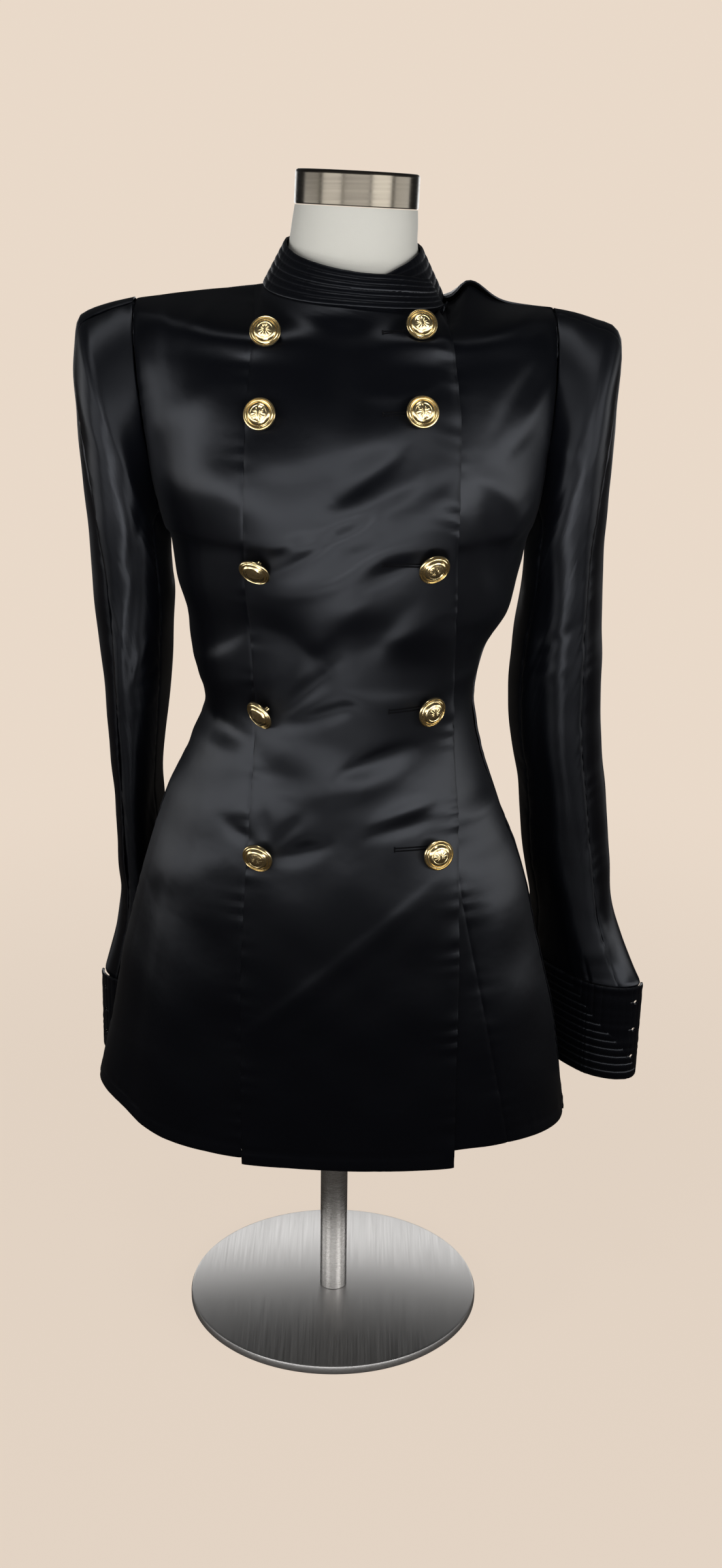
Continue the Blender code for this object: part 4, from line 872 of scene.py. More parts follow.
def make_panel(name, left, right, front, hem, folds, puckers, step, depth=None):
    """One panel between two seams; 'puckers' is the size at each seam and where they begin."""
    points, normals = panel_grid(left, right, front, hem, step)
    x, z = points[..., 0], points[..., 2]
    lift = crease_heights(folds, x, z) + slow_waves(x, z, PANEL_WAVES, 0.0 if front else 1.3)
    lift += seam_relief(points, puckers)
    if depth:
        lift -= depth(x, z)
    return cloth_sheet(name, points + normals * lift[..., None])


for name, node, side, hem, shift in (("back_right_panel", "right_back", -1, RIGHT_BACK_HEM, 0.4),
                                     ("back_left_panel", "left_back", 1, LEFT_BACK_HEM, 2.6)):
    panel = make_panel(name, straight_line(0), straight_line(side), False, hem, BACK_CREASES,
                       (0.0003, 0.0004, shift), step=0.0034)
    finish_piece(panel, "satin", satin, node)


# Side fronts: one on each side, cut with a curve over the bust and flared to the hem. The left one
# is sewn to a centre front that lies under the lap, a layer lower than the rest of the body.
LAP_GAP = 0.0009
LAYER_DROP = 0.0016 + LAP_GAP
NECK_EXTRA_DROP = 0.0016
PLASTRON_SHOULDER = 0.03
LAP_TOP_ANGLE = 14
UNDERLAP_EDGE = -0.060
UNDERLAP_NECK = -0.048
SIDE_HEM = [(-0.2065, 0.0310), (-0.1960, 0.0280), (-0.1800, 0.0220), (-0.1650, 0.0130),
            (-0.1450, 0.0060), (-0.1180, 0.0020), (-0.0760, 0.0), (0.0, 0.0)]
LEFT_HEM = [(-0.0700, 0.0030), (0.1480, 0.0030), (0.2015, 0.0)]

FRONT_CREASES = creases([
    # Upper chest: a swoop under the collar and small pulls beside the top buttonhole
    (-47, 900, -11, 885, 61, 889, 8, 0.9, 0.2),
    (-40, 890, -5, 873, 50, 878, 10.3, -0.7, 0.0),
    (74, 887, 82, 885, 91, 884, 3.2, 0.5, 0.0),
    (74, 878, 83, 875, 92, 873, 3.4, 0.6, 0.0),
    (75, 868, 83, 864, 92, 862, 3.4, 0.5, 0.0),
    (18, 833, 50, 829, 76, 842, 9.1, 0.8, 0.3),
    # Over the bust: drag lines that run up towards the viewer's right
    (-70, 778, -20, 784, 60, 812, 18.2, 1.2, 0.2),
    (-2, 752, 21, 771, 46, 788, 10.8, -2.1, 0.2),
    (-8, 733, 22, 750, 58, 768, 11.4, 1.5, 0.2),
    (30, 745, 60, 752, 86, 770, 10.3, -1.2, 0.0),
    (-52, 693, -14, 708, 24, 734, 12.5, -2.6, -0.2),
    (-50, 676, -6, 686, 34, 709, 12.5, 1.5, 0.1),
    (-53, 704, -40, 712, -22, 726, 6.8, -1, 0.0),
    (22, 685, 42, 698, 62, 703, 8, -1.4, 0.2),
    (10, 704, 45, 722, 78, 728, 11.4, 1, 0.0),
    # From the bust to the waist: the front hangs in long shallow waves
    (-27, 632, -2, 655, 24, 678, 17.1, 1.6, 0.2),
    (10, 622, 34, 641, 60, 672, 13.7, -1.6, 0.2),
    (-60, 648, -35, 640, -12, 617, 12.5, -1.2, 0.0),
    (44, 640, 66, 650, 90, 668, 10.3, 1, 0.0),
    # Round the fourth button and across the belly
    (-47, 577, -26, 594, -6, 614, 10.3, -2.4, 0.2),
    (-46, 570, -16, 575, 14, 588, 8.5, -1.4, 0.0),
    (-49, 590, -44, 606, -34, 622, 6.8, -1, 0.0),
    (6, 596, 34, 584, 62, 590, 9.1, 1.2, 0.0),
    (-70, 553, -23, 543, 18, 522, 17.1, 1.4, 0.0),
    (4, 531, 32, 544, 60, 551, 9.7, -2.2, -0.3),
    (-30, 512, 12, 516, 50, 528, 13.7, 1.2, 0.2),
    # Round the fifth buttons, and the long crease that crosses the skirt
    (30, 490, 54, 497, 76, 502, 6.8, 1.2, 0.2),
    (26, 479, 52, 486, 76, 489, 6.3, -0.9, 0.0),
    (-50, 461, -31, 466, -8, 473, 8.5, -1.8, 0.0),
    (-51, 468, -40, 480, -28, 496, 6.8, -1.1, 0.0),
    (-58, 474, -57, 486, -58, 500, 5.7, -0.7, 0.0),
    (-68, 470, -78, 480, -92, 487, 6.8, -0.9, 0.0),
    (80, 438, 24, 391, -75, 308, 9.7, 0.7, 0.4),
    (70, 415, 20, 372, -50, 312, 12.5, -0.4, 0.0),
    (45, 330, 0, 300, -60, 262, 16, 0.4, 0.0),
    # Viewer's left side panel
    (-145, 762, -109, 752, -72, 764, 20.5, 1.5, 0.0),
    (-146, 735, -118, 716, -80, 712, 14.8, -1.2, 0.0),
    (-122, 872, -114, 884, -104, 894, 5.7, 0.7, 0.0),
    (-150, 800, -128, 812, -100, 836, 13.7, 0.9, 0.0),
    (-128, 610, -100, 626, -71, 650, 10.3, -1.6, 0.2),
    (-126, 588, -98, 592, -70, 603, 9.1, 1.2, 0.0),
    (-126, 566, -98, 560, -70, 552, 10.3, -1.4, 0.0),
    (-134, 542, -108, 536, -78, 540, 11.4, 1.1, 0.0),
    (-160, 420, -130, 440, -90, 452, 17.1, 1.2, 0.0),
    (-150, 215, -142, 300, -126, 400, 25.1, 2.2, 0.0),
    (-108, 205, -104, 290, -96, 380, 20.5, -1.4, 0.0),
    # Viewer's right side panel
    (112, 768, 146, 752, 147, 690, 11.4, 2, 0.2),
    (116, 742, 122, 710, 127, 676, 9.7, -1.8, 0.0),
    (134, 786, 147, 806, 166, 840, 8, 1.4, 0.0),
    (122, 800, 134, 826, 152, 850, 8, -1.1, 0.0),
    (138, 700, 148, 713, 157, 727, 5.1, -1.2, 0.0),
    (132, 712, 141, 728, 153, 744, 5.1, 0.9, 0.0),
    (142, 885, 150, 890, 158, 894, 4.1, 0.7, 0.0),
    (140, 876, 149, 880, 160, 882, 4.1, -0.6, 0.0),
    (98, 640, 116, 634, 134, 640, 9.1, -1.4, 0.0),
    (96, 600, 110, 594, 124, 596, 9.1, 1.2, 0.0),
    (98, 486, 122, 484, 146, 488, 10.3, 1.4, 0.4),
    (98, 462, 122, 458, 150, 460, 12.5, -1.1, 0.0),
    (150, 215, 146, 300, 134, 400, 22.8, 2, 0.0),
    (120, 215, 118, 300, 112, 390, 18.2, -1.4, 0.0),
])


def under_layer_depth(x, z):
    """How far the wearer's left front lies under the surface, a little deeper at the neck."""
    depth = LAYER_DROP + NECK_EXTRA_DROP * smooth_share(z, 0.855, 0.890)
    return depth * (1 - smooth_share(x, 0.107, 0.140))


plastron_seam = seam_line("plastron_seam", NECK_X - NECK_HALF_WIDTH)
plastron_seam[-1] -= PLASTRON_SHOULDER
lap_edge = seam_line("lap_edge", NECK_X + NECK_HALF_WIDTH * math.cos(math.radians(LAP_TOP_ANGLE)))
left_seam = seam_line("left_seam", NECK_X + NECK_HALF_WIDTH)
underlap = [u_of_x(UNDERLAP_EDGE, row) for row in range(LAST_ROW)] + [u_of_x(UNDERLAP_NECK, LAST_ROW)]

right_side_front = make_panel("right_side_panel", straight_line(-1), plastron_seam, True, SIDE_HEM,
                              FRONT_CREASES, (0.0003, 0.0003, 1.1), step=0.0026)
finish_piece(right_side_front, "satin", satin, "right_side_front")

left_centre_front = make_panel("left_centre_panel", underlap, left_seam, True, LEFT_HEM,
                               FRONT_CREASES, (0.0, 0.0004, 4.0), 0.0042, under_layer_depth)
finish_piece(left_centre_front, "satin", satin, "left_centre_front")

left_side_front = make_panel("left_side_panel", left_seam, straight_line(1), True, LEFT_HEM,
                             FRONT_CREASES, (0.0003, 0.0003, 3.3), 0.0026, under_layer_depth)
finish_piece(left_side_front, "satin", satin, "left_side_front")


# Plastron: the wide centre panel of the wearer's right front, sewn to its side panel on the
# viewer's left and lapping over to the viewer's right, where its free edge puckers.
PLASTRON_HEM = [(-0.0760, -0.0060), (0.0200, -0.0080), (0.1023, -0.0115)]
plastron = make_panel("plastron_panel", plastron_seam, lap_edge, True, PLASTRON_HEM,
                      FRONT_CREASES, (0.0003, 0.0007, 5.2), step=0.0024)
finish_piece(plastron, "satin", satin, "front_plastron")


# Collar: a standing band quilted in six channels. It starts on the viewer's right under its own
# other end, runs round the back and laps over the front to end above the overlap.
COLLAR_START = -75
COLLAR_END = 342
# Height of the top edge, by the neckline's angle
COLLAR_TOP_HEIGHT = [(-75, 0.9190), (-45, 0.9290), (-15, 0.9385), (0, 0.9425), (45, 0.9500),
                     (90, 0.9530), (135, 0.9510), (180, 0.9477), (225, 0.9345), (270, 0.9250),
                     (306, 0.9220), (342, 0.9180)]
COLLAR_TOP_HALF_WIDTH = 0.0553
COLLAR_TOP_FRONT = 0.0630
COLLAR_TOP_BACK = 0.0500
COLLAR_LAP_OUT = 0.0040
COLLAR_LAP_RISE = 0.0034
COLLAR_CHANNELS = 6
COLLAR_STITCH_DEPTH = 0.0006
COLLAR_LAP_START = 190
COLLAR_UNDER_STOP = 30
CHANNEL_FULLNESS = 0.4
QUILT_WALL = 0.0019
COLLAR_PUCKER_HEIGHT = 0.00022
COLLAR_PUCKER_SPACING = 0.0075
COLLAR_RADIUS = 0.068
COLLAR_END_ROLL = 0.0008
COLLAR_END_WIDTH = 0.0014
# The seam allowance inside the neckline, as pairs of distance inward and distance down
COLLAR_TUCK = [(0.0034, 0.0066), (0.0030, 0.0016), (0.0016, 0.0004)]


def collar_points(angle, height):
    a = np.radians(angle)
    lap = np.clip((angle - COLLAR_LAP_START) / (COLLAR_END - COLLAR_LAP_START), 0.0, 1.0)
    under_end = np.clip((COLLAR_UNDER_STOP - angle) / (COLLAR_UNDER_STOP - COLLAR_START), 0.0, 1.0)
    bottom = neckline_points(angle)
    bottom[..., 2] += 2 * SEAM_GAP + COLLAR_LAP_RISE * np.maximum(lap ** 3, under_end)
    depth = np.where(np.sin(a) < 0, COLLAR_TOP_FRONT, COLLAR_TOP_BACK)
    top = joined(NECK_X + COLLAR_TOP_HALF_WIDTH * np.cos(a), NECK_Y + depth * np.sin(a),
                 read_table(COLLAR_TOP_HEIGHT, angle))
    out = COLLAR_LAP_OUT * lap ** 0.6 * (1 + 1.6 * lap ** 3 * height)
    return (bottom + (top - bottom) * height[..., None]
            + joined(np.cos(a) * out, np.sin(a) * out, 0.0 * out))


def channel_profile(place):
    """Quilting between stitch lines at whole numbers: 0 on a line and 1 on a channel's crown."""
    return np.abs(np.sin(math.pi * place)) ** CHANNEL_FULLNESS


collar_angle, collar_height = np.meshgrid(
    np.linspace(COLLAR_START, COLLAR_END, 300), spaced(0.033, 0.0009, (0.0004, 0.0006)))
collar_grid = collar_points(collar_angle, collar_height)
collar_normals = -unit(np.cross(np.gradient(collar_grid, axis=0), np.gradient(collar_grid, axis=1)))
collar_lift = COLLAR_STITCH_DEPTH * (channel_profile(collar_height * COLLAR_CHANNELS) - 1)
collar_lift += COLLAR_PUCKER_HEIGHT * uneven_beats(
    np.radians(collar_angle) * COLLAR_RADIUS, COLLAR_PUCKER_SPACING, 0.7)
collar_length = lengths_along(collar_grid, 1)
for distance in (collar_length, collar_length[:, -1:] - collar_length):
    collar_lift -= COLLAR_END_ROLL * np.exp(-(distance / COLLAR_END_WIDTH) ** 2)
collar_grid = collar_grid + collar_normals * collar_lift[..., None]
collar_tucks = [collar_grid[0] - collar_normals[0] * inward - (0, 0, down)
                for inward, down in COLLAR_TUCK]
collar = cloth_sheet("collar_band", np.concatenate((collar_tucks, collar_grid)), QUILT_WALL)
finish_piece(collar, "satin", satin, "collar")


# Sleeves: two pieces each, sewn up the outside and the inside, set in high over squared shoulder
# pads and curving back to the wrist. Their creases follow the bend at the elbow.
SLEEVE_METRES_PER_DEGREE = 0.00085
SLEEVE_WAVES = 0.0007
SLEEVE_FRONT_WIDTH = 0.125
SLEEVE_BACK_WIDTH = 0.20
# The seam allowance inside the cuff, as pairs of distance inward and distance down
SLEEVE_TUCK = [(0.0003, 0.0010), (0.0016, 0.0018), (0.0030, 0.0030), (0.0035, 0.0090)]
RIGHT_SLEEVE_CREASES = creases([
    (16, 884, 46, 860, 76, 822, 12.3, -1.1, 0.2),
    (40, 890, 62, 872, 84, 862, 9, 0.8, 0.0),
    (56, 800, 78, 776, 98, 770, 10.1, 0.9, 0.0),
    (30, 780, 52, 744, 58, 690, 16.8, 1.2, 0.0),
    (106, 735, 82, 672, 75, 590, 11.2, -2.2, -0.2),
    (92, 690, 68, 640, 62, 560, 11.2, 1.7, 0.2),
    (104, 626, 90, 612, 80, 590, 5.6, 1.1, 0.0),
    (118, 600, 100, 584, 82, 580, 5.6, -1.1, 0.0),
    (120, 575, 100, 560, 78, 560, 6.7, 0.9, 0.0),
    (30, 640, 40, 570, 30, 500, 14.6, -1.3, 0.0),
    (84, 540, 72, 470, 78, 400, 12.3, 1.6, 0.0),
    (50, 530, 54, 450, 46, 370, 13.4, -1.5, 0.0),
    (120, 480, 104, 430, 100, 360, 10.1, -1.2, 0.0),
])
LEFT_SLEEVE_CREASES = creases([
    (20, 884, 52, 856, 70, 800, 12.3, -0.9, 0.2),
    (86, 812, 90, 786, 66, 758, 6.7, 0.9, 0.0),
    (44, 820, 62, 740, 58, 640, 17.9, 1.2, 0.0),
    (108, 700, 94, 560, 116, 380, 12.3, -2.2, 0.0),
    (82, 660, 74, 560, 86, 430, 11.2, 1.5, 0.0),
    (66, 642, 88, 622, 112, 618, 6.2, -1.1, 0.0),
    (70, 606, 90, 596, 116, 594, 6.2, 1, 0.0),
    (138, 512, 128, 500, 116, 498, 4, -0.9, 0.0),
    (138, 490, 127, 478, 112, 476, 4.3, 0.8, 0.0),
    (136, 468, 124, 454, 110, 452, 4.3, -0.8, 0.0),
    (36, 560, 46, 470, 36, 390, 14.6, -1.3, 0.0),
    (30, 350, 55, 332, 90, 336, 7.8, 1.3, 0.2),
    (40, 318, 66, 312, 94, 318, 5, -1.1, 0.0),
    (74, 336, 77, 322, 76, 302, 3.9, -0.9, 0.0),
    (92, 340, 94, 326, 91, 304, 4.5, 0.9, 0.0),
])
SLEEVE_BACK_CREASES = creases([
    (250, 690, 226, 640, 222, 580, 15.7, 1.3, 0.0),
    (200, 660, 190, 600, 200, 540, 14.6, -1.5, 0.0),
    (230, 520, 216, 440, 222, 350, 15.7, 1.3, 0.0),
])


def sleeve_points(rings, angle, v):
    shape = angle.shape
    angle, v = angle.ravel(), v.ravel()
    total = np.zeros((angle.size, 3))
    for rows, weight in curve_terms(v, len(rings) - 1):
        total += sleeve_ring_points(rings, rows, angle) * weight[:, None]
    return total.reshape(shape + (3,))


def make_sleeve_piece(name, rings, front, folds, puckers, step):
    last = len(rings) - 1
    side = math.copysign(1, rings[0].x_out)
    outer_seam = [ring.outer_seam for ring in rings]
    inner_seam = [ring.inner_seam for ring in rings]
    fine = np.linspace(0, last, 401)
    middle = np.full(fine.shape, 90.0 if front else 270.0)
    height = lengths_along(sleeve_points(rings, middle, fine)[None], 1)[0]
    places = spaced(height[-1], step * UP_STEP_SHARE, EDGE_STEPS) * height[-1]
    v = np.interp(places, height, fine)
    start, stop = along_curve(outer_seam, v), along_curve(inner_seam, v)
    if not front:
        start, stop = stop, start + 360
    share = spaced(SLEEVE_FRONT_WIDTH if front else SLEEVE_BACK_WIDTH, step, EDGE_STEPS)
    angle = start[:, None] + (stop - start)[:, None] * share[None, :]
    v = np.repeat(v[:, None], len(share), 1)
    points = sleeve_points(rings, angle, v)
    normals = sheet_normals(lambda a, b: sleeve_points(rings, a, b), angle, v, (4.0, 0.1),
                            (-360, 720), (0, last)) * side
    points[..., 0] += side * SEAM_GAP * 1.3 * (v == 0)
    around = angle * SLEEVE_METRES_PER_DEGREE
    lift = crease_heights(folds + SLEEVE_BACK_CREASES, around, points[..., 2])
    lift += slow_waves(around, points[..., 2], SLEEVE_WAVES, 2.2 * side)
    lift += seam_relief(points, puckers, None)
    points = points + normals * lift[..., None]
    tucks = [points[-1] - normals[-1] * inward - (0, 0, down) for inward, down in SLEEVE_TUCK]
    points = np.concatenate((points, tucks))
    if side < 0:
        points = points[:, ::-1]
    return cloth_sheet(name, points)


for word, rings, folds, shift in (("right", RIGHT_SLEEVE, RIGHT_SLEEVE_CREASES, 0.5),
                                  ("left", LEFT_SLEEVE, LEFT_SLEEVE_CREASES, 3.1)):
    for half in ("front", "back"):
        sleeve = make_sleeve_piece(f"{word}_sleeve_{half}_piece", rings, half == "front", folds,
                                   (0.0004, 0.0004, shift), step=0.0030)
        finish_piece(sleeve, "satin", satin, f"{word}_sleeve_{half}")


# Cuffs: stiff bands quilted in channels that run round the wrist and turn up square beside the
# opening. They stand open, and three keyhole buttonholes are worked through the upper flap.
RIGHT_CUFF_TOP = Sleeve(-0.2155, 0.2846, 0.072, -0.1500, 0.2876, 0.104, 0.042, 0.146, 1.6, 0.0, 0, 0)
RIGHT_CUFF_HEM = Sleeve(-0.2155, 0.2100, 0.074, -0.1500, 0.2100, 0.116, 0.050, 0.150, 1.6, 0.0, 0, 0)
LEFT_CUFF_TOP = Sleeve(0.2698, 0.3084, -0.002, 0.1750, 0.3130, 0.066, -0.010, 0.108, 1.6, 0.0, 0, 0)
LEFT_CUFF_HEM = Sleeve(0.2667, 0.2225, -0.002, 0.1760, 0.2280, 0.074, -0.008, 0.112, 1.6, 0.0, 0, 0)
CUFF_VENT_ANGLE = 322
CUFF_FLAP_ANGLE = 4
CUFF_CHANNELS = 12
CUFF_MITRE_END = 118
CUFF_STITCH_DEPTH = 0.0008
CUFF_HEIGHT = 0.076
CUFF_PUCKER_HEIGHT = 0.0002
CUFF_PUCKER_SPACING = 0.008


def cuff_points(top, hem, angle, height):
    low = sleeve_ring_points([hem], np.zeros(angle.shape, int), angle)
    high = sleeve_ring_points([top], np.zeros(angle.shape, int), angle)
    return low + (high - low) * height[..., None]


def make_cuff(name, top, hem):
    side = math.copysign(1, top.x_out)
    mitre = np.linspace(CUFF_FLAP_ANGLE, CUFF_MITRE_END, 100)
    plain = np.linspace(CUFF_MITRE_END, CUFF_VENT_ANGLE, 150)[1:]
    angle, height = np.meshgrid(np.concatenate((mitre, plain)), np.linspace(0, 1, 97))
    points = cuff_points(top, hem, angle, height)
    normals = sheet_normals(lambda a, b: cuff_points(top, hem, a, b), angle, height, (3.0, 0.1),
                            (-360, 720), (0, 1)) * -side
    in_mitre = (angle - CUFF_FLAP_ANGLE) / (CUFF_MITRE_END - CUFF_FLAP_ANGLE) * CUFF_CHANNELS
    place = np.minimum(in_mitre, height * CUFF_CHANNELS)
    lift = CUFF_STITCH_DEPTH * (channel_profile(place) - 1)
    along = np.where(in_mitre < height * CUFF_CHANNELS, height * CUFF_HEIGHT,
                     angle * SLEEVE_METRES_PER_DEGREE)
    lift += CUFF_PUCKER_HEIGHT * uneven_beats(along, CUFF_PUCKER_SPACING, 1.9)
    points = points + normals * lift[..., None]
    if side < 0:
        points = points[:, ::-1]
    return cloth_sheet(name, points, QUILT_WALL)


right_cuff = make_cuff("right_cuff_band", RIGHT_CUFF_TOP, RIGHT_CUFF_HEM)
finish_piece(right_cuff, "satin", satin, "right_cuff")
left_cuff = make_cuff("left_cuff_band", LEFT_CUFF_TOP, LEFT_CUFF_HEM)
finish_piece(left_cuff, "satin", satin, "left_cuff")
cuffs = (("right", RIGHT_CUFF_TOP, RIGHT_CUFF_HEM, right_cuff),
         ("left", LEFT_CUFF_TOP, LEFT_CUFF_HEM, left_cuff))


# Quilting stitches: short black thread stitches lie in every groove of the collar and the cuffs.
# Each is a thin spindle that starts and ends on the cloth, with a gap before the next one.
THREAD_BLACK = (0.004, 0.004, 0.005)
QUILT_THREAD = 0.00016
QUILT_STITCH = 0.0022
QUILT_STEP = 0.0030

thread = colored_material("black_thread", THREAD_BLACK, 0.9, {"Specular IOR Level": 0.12})


def thread_piece(name, stitches, radius):
    """Many short stitches in one mesh: each is a four-sided spindle from its start to its end."""
    starts, ends = np.moveaxis(np.array(stitches), 1, 0)
    along = ends - starts
    helper = np.where(np.abs(unit(along)[:, 2:]) > 0.8, (1.0, 0.0, 0.0), (0.0, 0.0, 1.0))
    across = unit(np.cross(along, helper))
    over = unit(np.cross(along, across))
    corners = [starts]
    for share in (0.2, 0.8):
        for side, lift in ((1, 0), (0, 1), (-1, 0), (0, -1)):
            corners.append(starts + along * share + (across * side + over * lift) * radius)
    corners.append(ends)
    places = np.stack(corners, 1).reshape(-1, 3)
    sides = []
    for i in range(4):
        j = (i + 1) % 4
        sides += [(0, 1 + j, 1 + i), (1 + i, 1 + j, 5 + j, 5 + i), (9, 5 + i, 5 + j)]
    faces = [tuple(10 * k + corner for corner in side) for k in range(len(starts)) for side in sides]
    bpy.ops.mesh.primitive_plane_add(size=0.01)
    piece = bpy.context.object
    piece.name = name
    piece.data.clear_geometry()
    piece.data.from_pydata(places.tolist(), [], faces)
    piece.data.update()
    bpy.ops.object.shade_smooth()
    return piece


def outer_tree(sheet):
    """A search tree of a sheet's outer side, which keeps the first faces of its mesh."""
    return BVHTree.FromPolygons([v.co for v in sheet.data.vertices],
                                [p.vertices[:] for p in sheet.data.polygons[:sheet["outer_faces"]]])


def point_at(line, reach, place):
    return Vector([np.interp(place, reach, line[:, axis]) for axis in range(3)])


def stitched_line(tree, line):
    """Even stitches along a line of points, each end laid on the cloth's surface."""
    reach = lengths_along(line[None], 1)[0]
    begins = np.arange(QUILT_STEP, reach[-1] - QUILT_STEP, QUILT_STEP)
    return [[tree.find_nearest(point_at(line, reach, place))[0]
             for place in (begin, begin + QUILT_STITCH)] for begin in begins]


stitches = []
collar_tree = outer_tree(collar)
for channel in range(1, COLLAR_CHANNELS):
    angle = np.linspace(COLLAR_START + 1, COLLAR_END - 1, 240)
    line = collar_points(angle, np.full(angle.shape, channel / COLLAR_CHANNELS))
    stitches += stitched_line(collar_tree, line)
finish_piece(thread_piece("collar_stitches", stitches, QUILT_THREAD), "satin", thread)

for word, top, hem, cuff in cuffs:
    stitches = []
    cuff_tree = outer_tree(cuff)
    for channel in range(1, CUFF_CHANNELS):
        share = channel / CUFF_CHANNELS
        corner = CUFF_FLAP_ANGLE + (CUFF_MITRE_END - CUFF_FLAP_ANGLE) * share
        angle = np.linspace(CUFF_VENT_ANGLE - 1, corner, 160)
        round_wrist = cuff_points(top, hem, angle, np.full(angle.shape, share))
        height = np.linspace(share, 0.99, 40)
        up_flap = cuff_points(top, hem, np.full(height.shape, corner), height)
        stitches += stitched_line(cuff_tree, np.concatenate((round_wrist, up_flap)))
    finish_piece(thread_piece(f"{word}_cuff_stitches", stitches, QUILT_THREAD), "satin", thread)


# Buttonholes: five keyhole holes worked in thick black thread, each a slot that runs from the
# viewer's left to its button, closed at the far end by a bar, and three through each cuff flap.
PURL_THREAD = 0.00042
PURL_STEP = 0.00078
PURL_LIFT = 0.7 * PURL_THREAD
HOLE_HALF_HEIGHT = 0.0019
HOLE_EYE = 0.0012
INWARD = Vector((0, 1, 0))
UPWARD = Vector((0, 0, 1))

Buttonhole = namedtuple("Buttonhole", "x_start x_end z_start z_end")
BUTTONHOLES = [Buttonhole(*row) for row in (
    (0.0330, 0.0600, 0.8790, 0.8800),
    (0.0340, 0.0600, 0.8185, 0.8190),
    (0.0350, 0.0690, 0.7035, 0.7025),
    (0.0420, 0.0730, 0.5815, 0.5815),
    (0.0480, 0.0800, 0.4685, 0.4670),
)]


def laid_thread(tree, pairs):
    """The pairs of points with each point laid on the cloth, half sunk into it."""
    found = [[tree.find_nearest(point)[:2] for point in pair] for pair in pairs]
    return [[ground + normal * PURL_LIFT for ground, normal in pair] for pair in found]


def slot_outline(start, end, half_height, eye):
    """Pairs of points across the stitched edge of a slot, with a round eye at its end."""
    run = (end - start).normalized()
    length = (end - start).length
    pairs = []
    for side in (1, -1):
        for place in np.arange(0.0, length - eye, PURL_STEP):
            base = start + run * place
            rise = UPWARD * side * half_height
            pairs.append((base + rise * 0.25, base + rise))
    for turn in np.radians(np.arange(-150, 151, 20)):
        spoke = run * math.cos(turn) + UPWARD * math.sin(turn)
        pairs.append((end + spoke * eye, end + spoke * (eye + half_height * 0.8)))
    for share in np.linspace(-1, 1, 6):
        base = start + UPWARD * share * half_height
        pairs.append((base - run * 0.0011, base + run * 0.0004))
    return pairs


stitches = []
plastron_tree = outer_tree(plastron)
for hole in BUTTONHOLES:
    spots = [plastron_tree.ray_cast(Vector((x, -1, z)), INWARD)[0]
             for x, z in ((hole.x_start, hole.z_start), (hole.x_end, hole.z_end))]
    stitches += laid_thread(plastron_tree, slot_outline(*spots, HOLE_HALF_HEIGHT, HOLE_EYE))
finish_piece(thread_piece("buttonhole_thread", stitches, PURL_THREAD), "satin", thread)

CUFF_EYE = 0.00175
CUFF_HOLE_LENGTH = 0.0160
CUFF_SLOT_OPEN = 0.0050
CUFF_SLOT_HALF_HEIGHT = 0.0004
CUFF_PURL_HALF_HEIGHT = 0.0011
CUTTER_REACH = 0.008
CUFF_HOLE_IN = 0.0105
CUFF_HOLE_HEIGHTS = (0.24, 0.54, 0.84)


def keyhole_cutter(eye_place, run):
    """A round eye with a short open slot behind it, as one solid through the cloth."""
    outline = [eye_place + (run * math.cos(turn) + UPWARD * math.sin(turn)) * CUFF_EYE
               for turn in np.linspace(0.25, 2 * math.pi - 0.25, 24)]
    outline += [eye_place + run * CUFF_SLOT_OPEN + UPWARD * side * CUFF_SLOT_HALF_HEIGHT
                for side in (-1, 1)]
    return lofted_piece("keyhole", [[point + INWARD * y for point in outline]
                                    for y in (-CUTTER_REACH, CUTTER_REACH)])


for word, top, hem, cuff in cuffs:
    cuff_tree = outer_tree(cuff)
    stitches, cutters = [], []
    for height in CUFF_HOLE_HEIGHTS:
        angle = np.linspace(CUFF_FLAP_ANGLE, 90, 120)
        line = cuff_points(top, hem, angle, np.full(angle.shape, height))
        reach = lengths_along(line[None], 1)[0]
        eye, bar = [point_at(line, reach, place)
                    for place in (CUFF_HOLE_IN, CUFF_HOLE_IN + CUFF_HOLE_LENGTH)]
        outline = slot_outline(bar, eye, CUFF_PURL_HALF_HEIGHT, CUFF_EYE + 0.0001)
        stitches += laid_thread(cuff_tree, outline)
        cutters.append(keyhole_cutter(eye, (bar - eye).normalized()))
    bpy.ops.object.select_all(action="DESELECT")
    for cutter in cutters:
        cutter.select_set(True)
    bpy.context.view_layer.objects.active = cutters[0]
    bpy.ops.object.join()
    cutter = bpy.context.object
    bpy.ops.object.select_all(action="DESELECT")
    cut = cuff.modifiers.new("buttonholes", "BOOLEAN")
    cut.operation = "DIFFERENCE"
    cut.solver = "MANIFOLD"
    cut.object = cutter
    bpy.context.view_layer.objects.active = cuff
    bpy.ops.object.modifier_apply(modifier=cut.name)
    bpy.data.objects.remove(cutter)
    finish_piece(thread_piece(f"{word}_cuff_buttonholes", stitches, PURL_THREAD), "satin", thread)


# Buttons: ten cast brass domes with stepped rings, gilded and sewn on by a shank. Most droop on
# their threads, to face forward or a little down, and each carries a plain rosette.
GILT = (0.86, 0.68, 0.36)
BUTTON_RADIUS = 0.0130
TOP_BUTTON_RADIUS = 0.0124
SHANK_RADIUS = 0.0024
SHANK_LENGTH = 0.0046
DROOP_SHANK_LENGTH = 0.0070
PETALS = 12
PETAL_REACH = 0.44
PETAL_HEIGHT = 0.00018
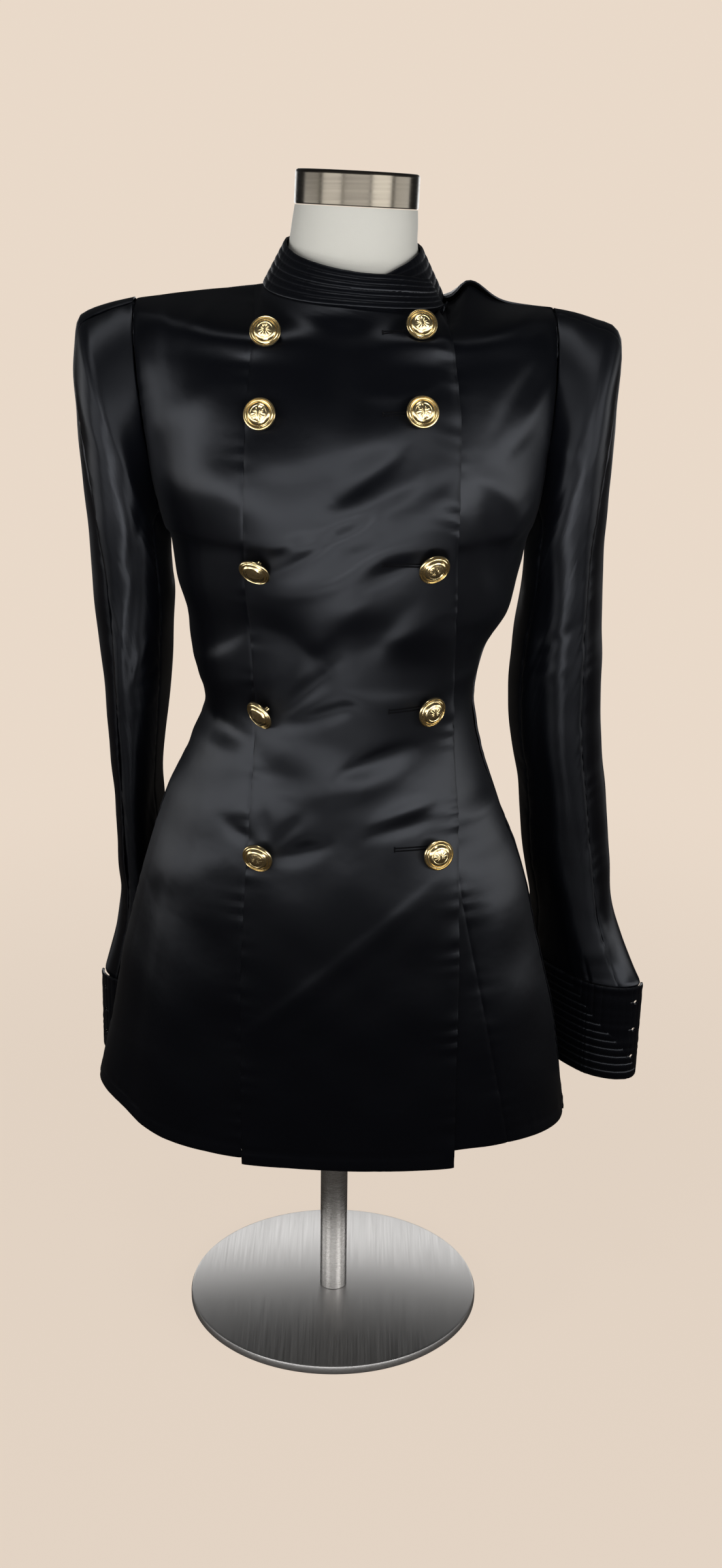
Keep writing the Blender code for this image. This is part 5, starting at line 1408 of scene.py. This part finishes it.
# The head from its back round its rim and over its steps, as share of the radius and height
# above the shank
HEAD_PROFILE = [
    (0.80, 0.0), (0.93, 0.0004), (0.985, 0.0010), (1.0, 0.0016), (0.985, 0.0023), (0.95, 0.0028),
    (0.91, 0.0029), (0.885, 0.0025), (0.865, 0.0025), (0.84, 0.0030), (0.80, 0.0033), (0.76, 0.0032),
    (0.735, 0.0028), (0.715, 0.0029), (0.66, 0.0042), (0.58, 0.0050), (0.50, 0.0053), (0.47, 0.0051),
    (0.44, 0.0053), (0.30, 0.0060), (0.15, 0.0063), (0, 0.0064)]

Button = namedtuple("Button", "name x z radius droop turn")
BUTTONS = [Button(*row) for row in (
    ("button_L1", -0.0569, 0.8725, TOP_BUTTON_RADIUS, 22, 0),
    ("button_L2", -0.0600, 0.8160, BUTTON_RADIUS, 0, 0),
    ("button_L3", -0.0615, 0.6972, BUTTON_RADIUS, 30, 2),
    ("button_L4", -0.0580, 0.5771, BUTTON_RADIUS, 23, -14),
    ("button_L5", -0.0611, 0.4612, BUTTON_RADIUS, 25, -10),
    ("button_R1", 0.0620, 0.8780, TOP_BUTTON_RADIUS, 30, 0),
    ("button_R2", 0.0630, 0.8190, BUTTON_RADIUS, 0, 0),
    ("button_R3", 0.0723, 0.7017, BUTTON_RADIUS, 14, 2),
    ("button_R4", 0.0722, 0.5788, BUTTON_RADIUS, 12, 2),
    ("button_R5", 0.0808, 0.4612, BUTTON_RADIUS, 12, 0),
)]

gold = colored_material("gilt_brass", GILT, 0.22, {"Metallic": 1.0})

front_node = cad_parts["front_plastron"]
cad_tree = BVHTree.FromPolygons([v.co for v in front_node.data.vertices],
                                [p.vertices[:] for p in front_node.data.polygons])


def button_matrix(button):
    """Where a button's shank stands on the plastron, with its axis along Z, and its length."""
    ground, normal = cad_tree.ray_cast(Vector((button.x, -1, button.z)), INWARD)[:2]
    axis = (Matrix.Rotation(math.radians(button.turn), 3, "Z")
            @ Matrix.Rotation(math.radians(button.droop), 3, "X") @ normal)
    tilt = axis.angle(normal)
    shank = SHANK_LENGTH + (DROOP_SHANK_LENGTH - SHANK_LENGTH) * min(button.droop / 25, 1)
    seat = ground - (axis - normal * axis.dot(normal)) * (shank + 0.003)
    seat, normal = cad_tree.ray_cast(Vector((seat.x, -1, seat.z)), INWARD)[:2]
    root = seat + normal * (1.5 * SEAM_GAP + SHANK_RADIUS * math.sin(tilt))
    return Matrix.Translation(root) @ axis.to_track_quat("Z", "Y").to_matrix().to_4x4(), shank


for button in BUTTONS:
    matrix, shank = button_matrix(button)
    stem = [(0, -0.001), (SHANK_RADIUS, -0.001), (SHANK_RADIUS * 0.85, shank * 0.5),
            (SHANK_RADIUS * 1.3, shank)]
    head = [(button.radius * share, shank + rise) for share, rise in HEAD_PROFILE]
    piece = turned_piece(button.name + "_dome", stem + head, 64)
    rosette = PETAL_REACH * button.radius
    for vertex in piece.data.vertices:
        radius = math.hypot(vertex.co.x, vertex.co.y)
        if radius < rosette and vertex.co.z > shank + 0.004:
            turn = math.atan2(vertex.co.y, vertex.co.x)
            vertex.co.z += PETAL_HEIGHT * math.cos(PETALS * turn) * math.sin(math.pi * radius / rosette)
    piece.data.transform(matrix)
    finish_piece(piece, "gold_button", gold, button.name)
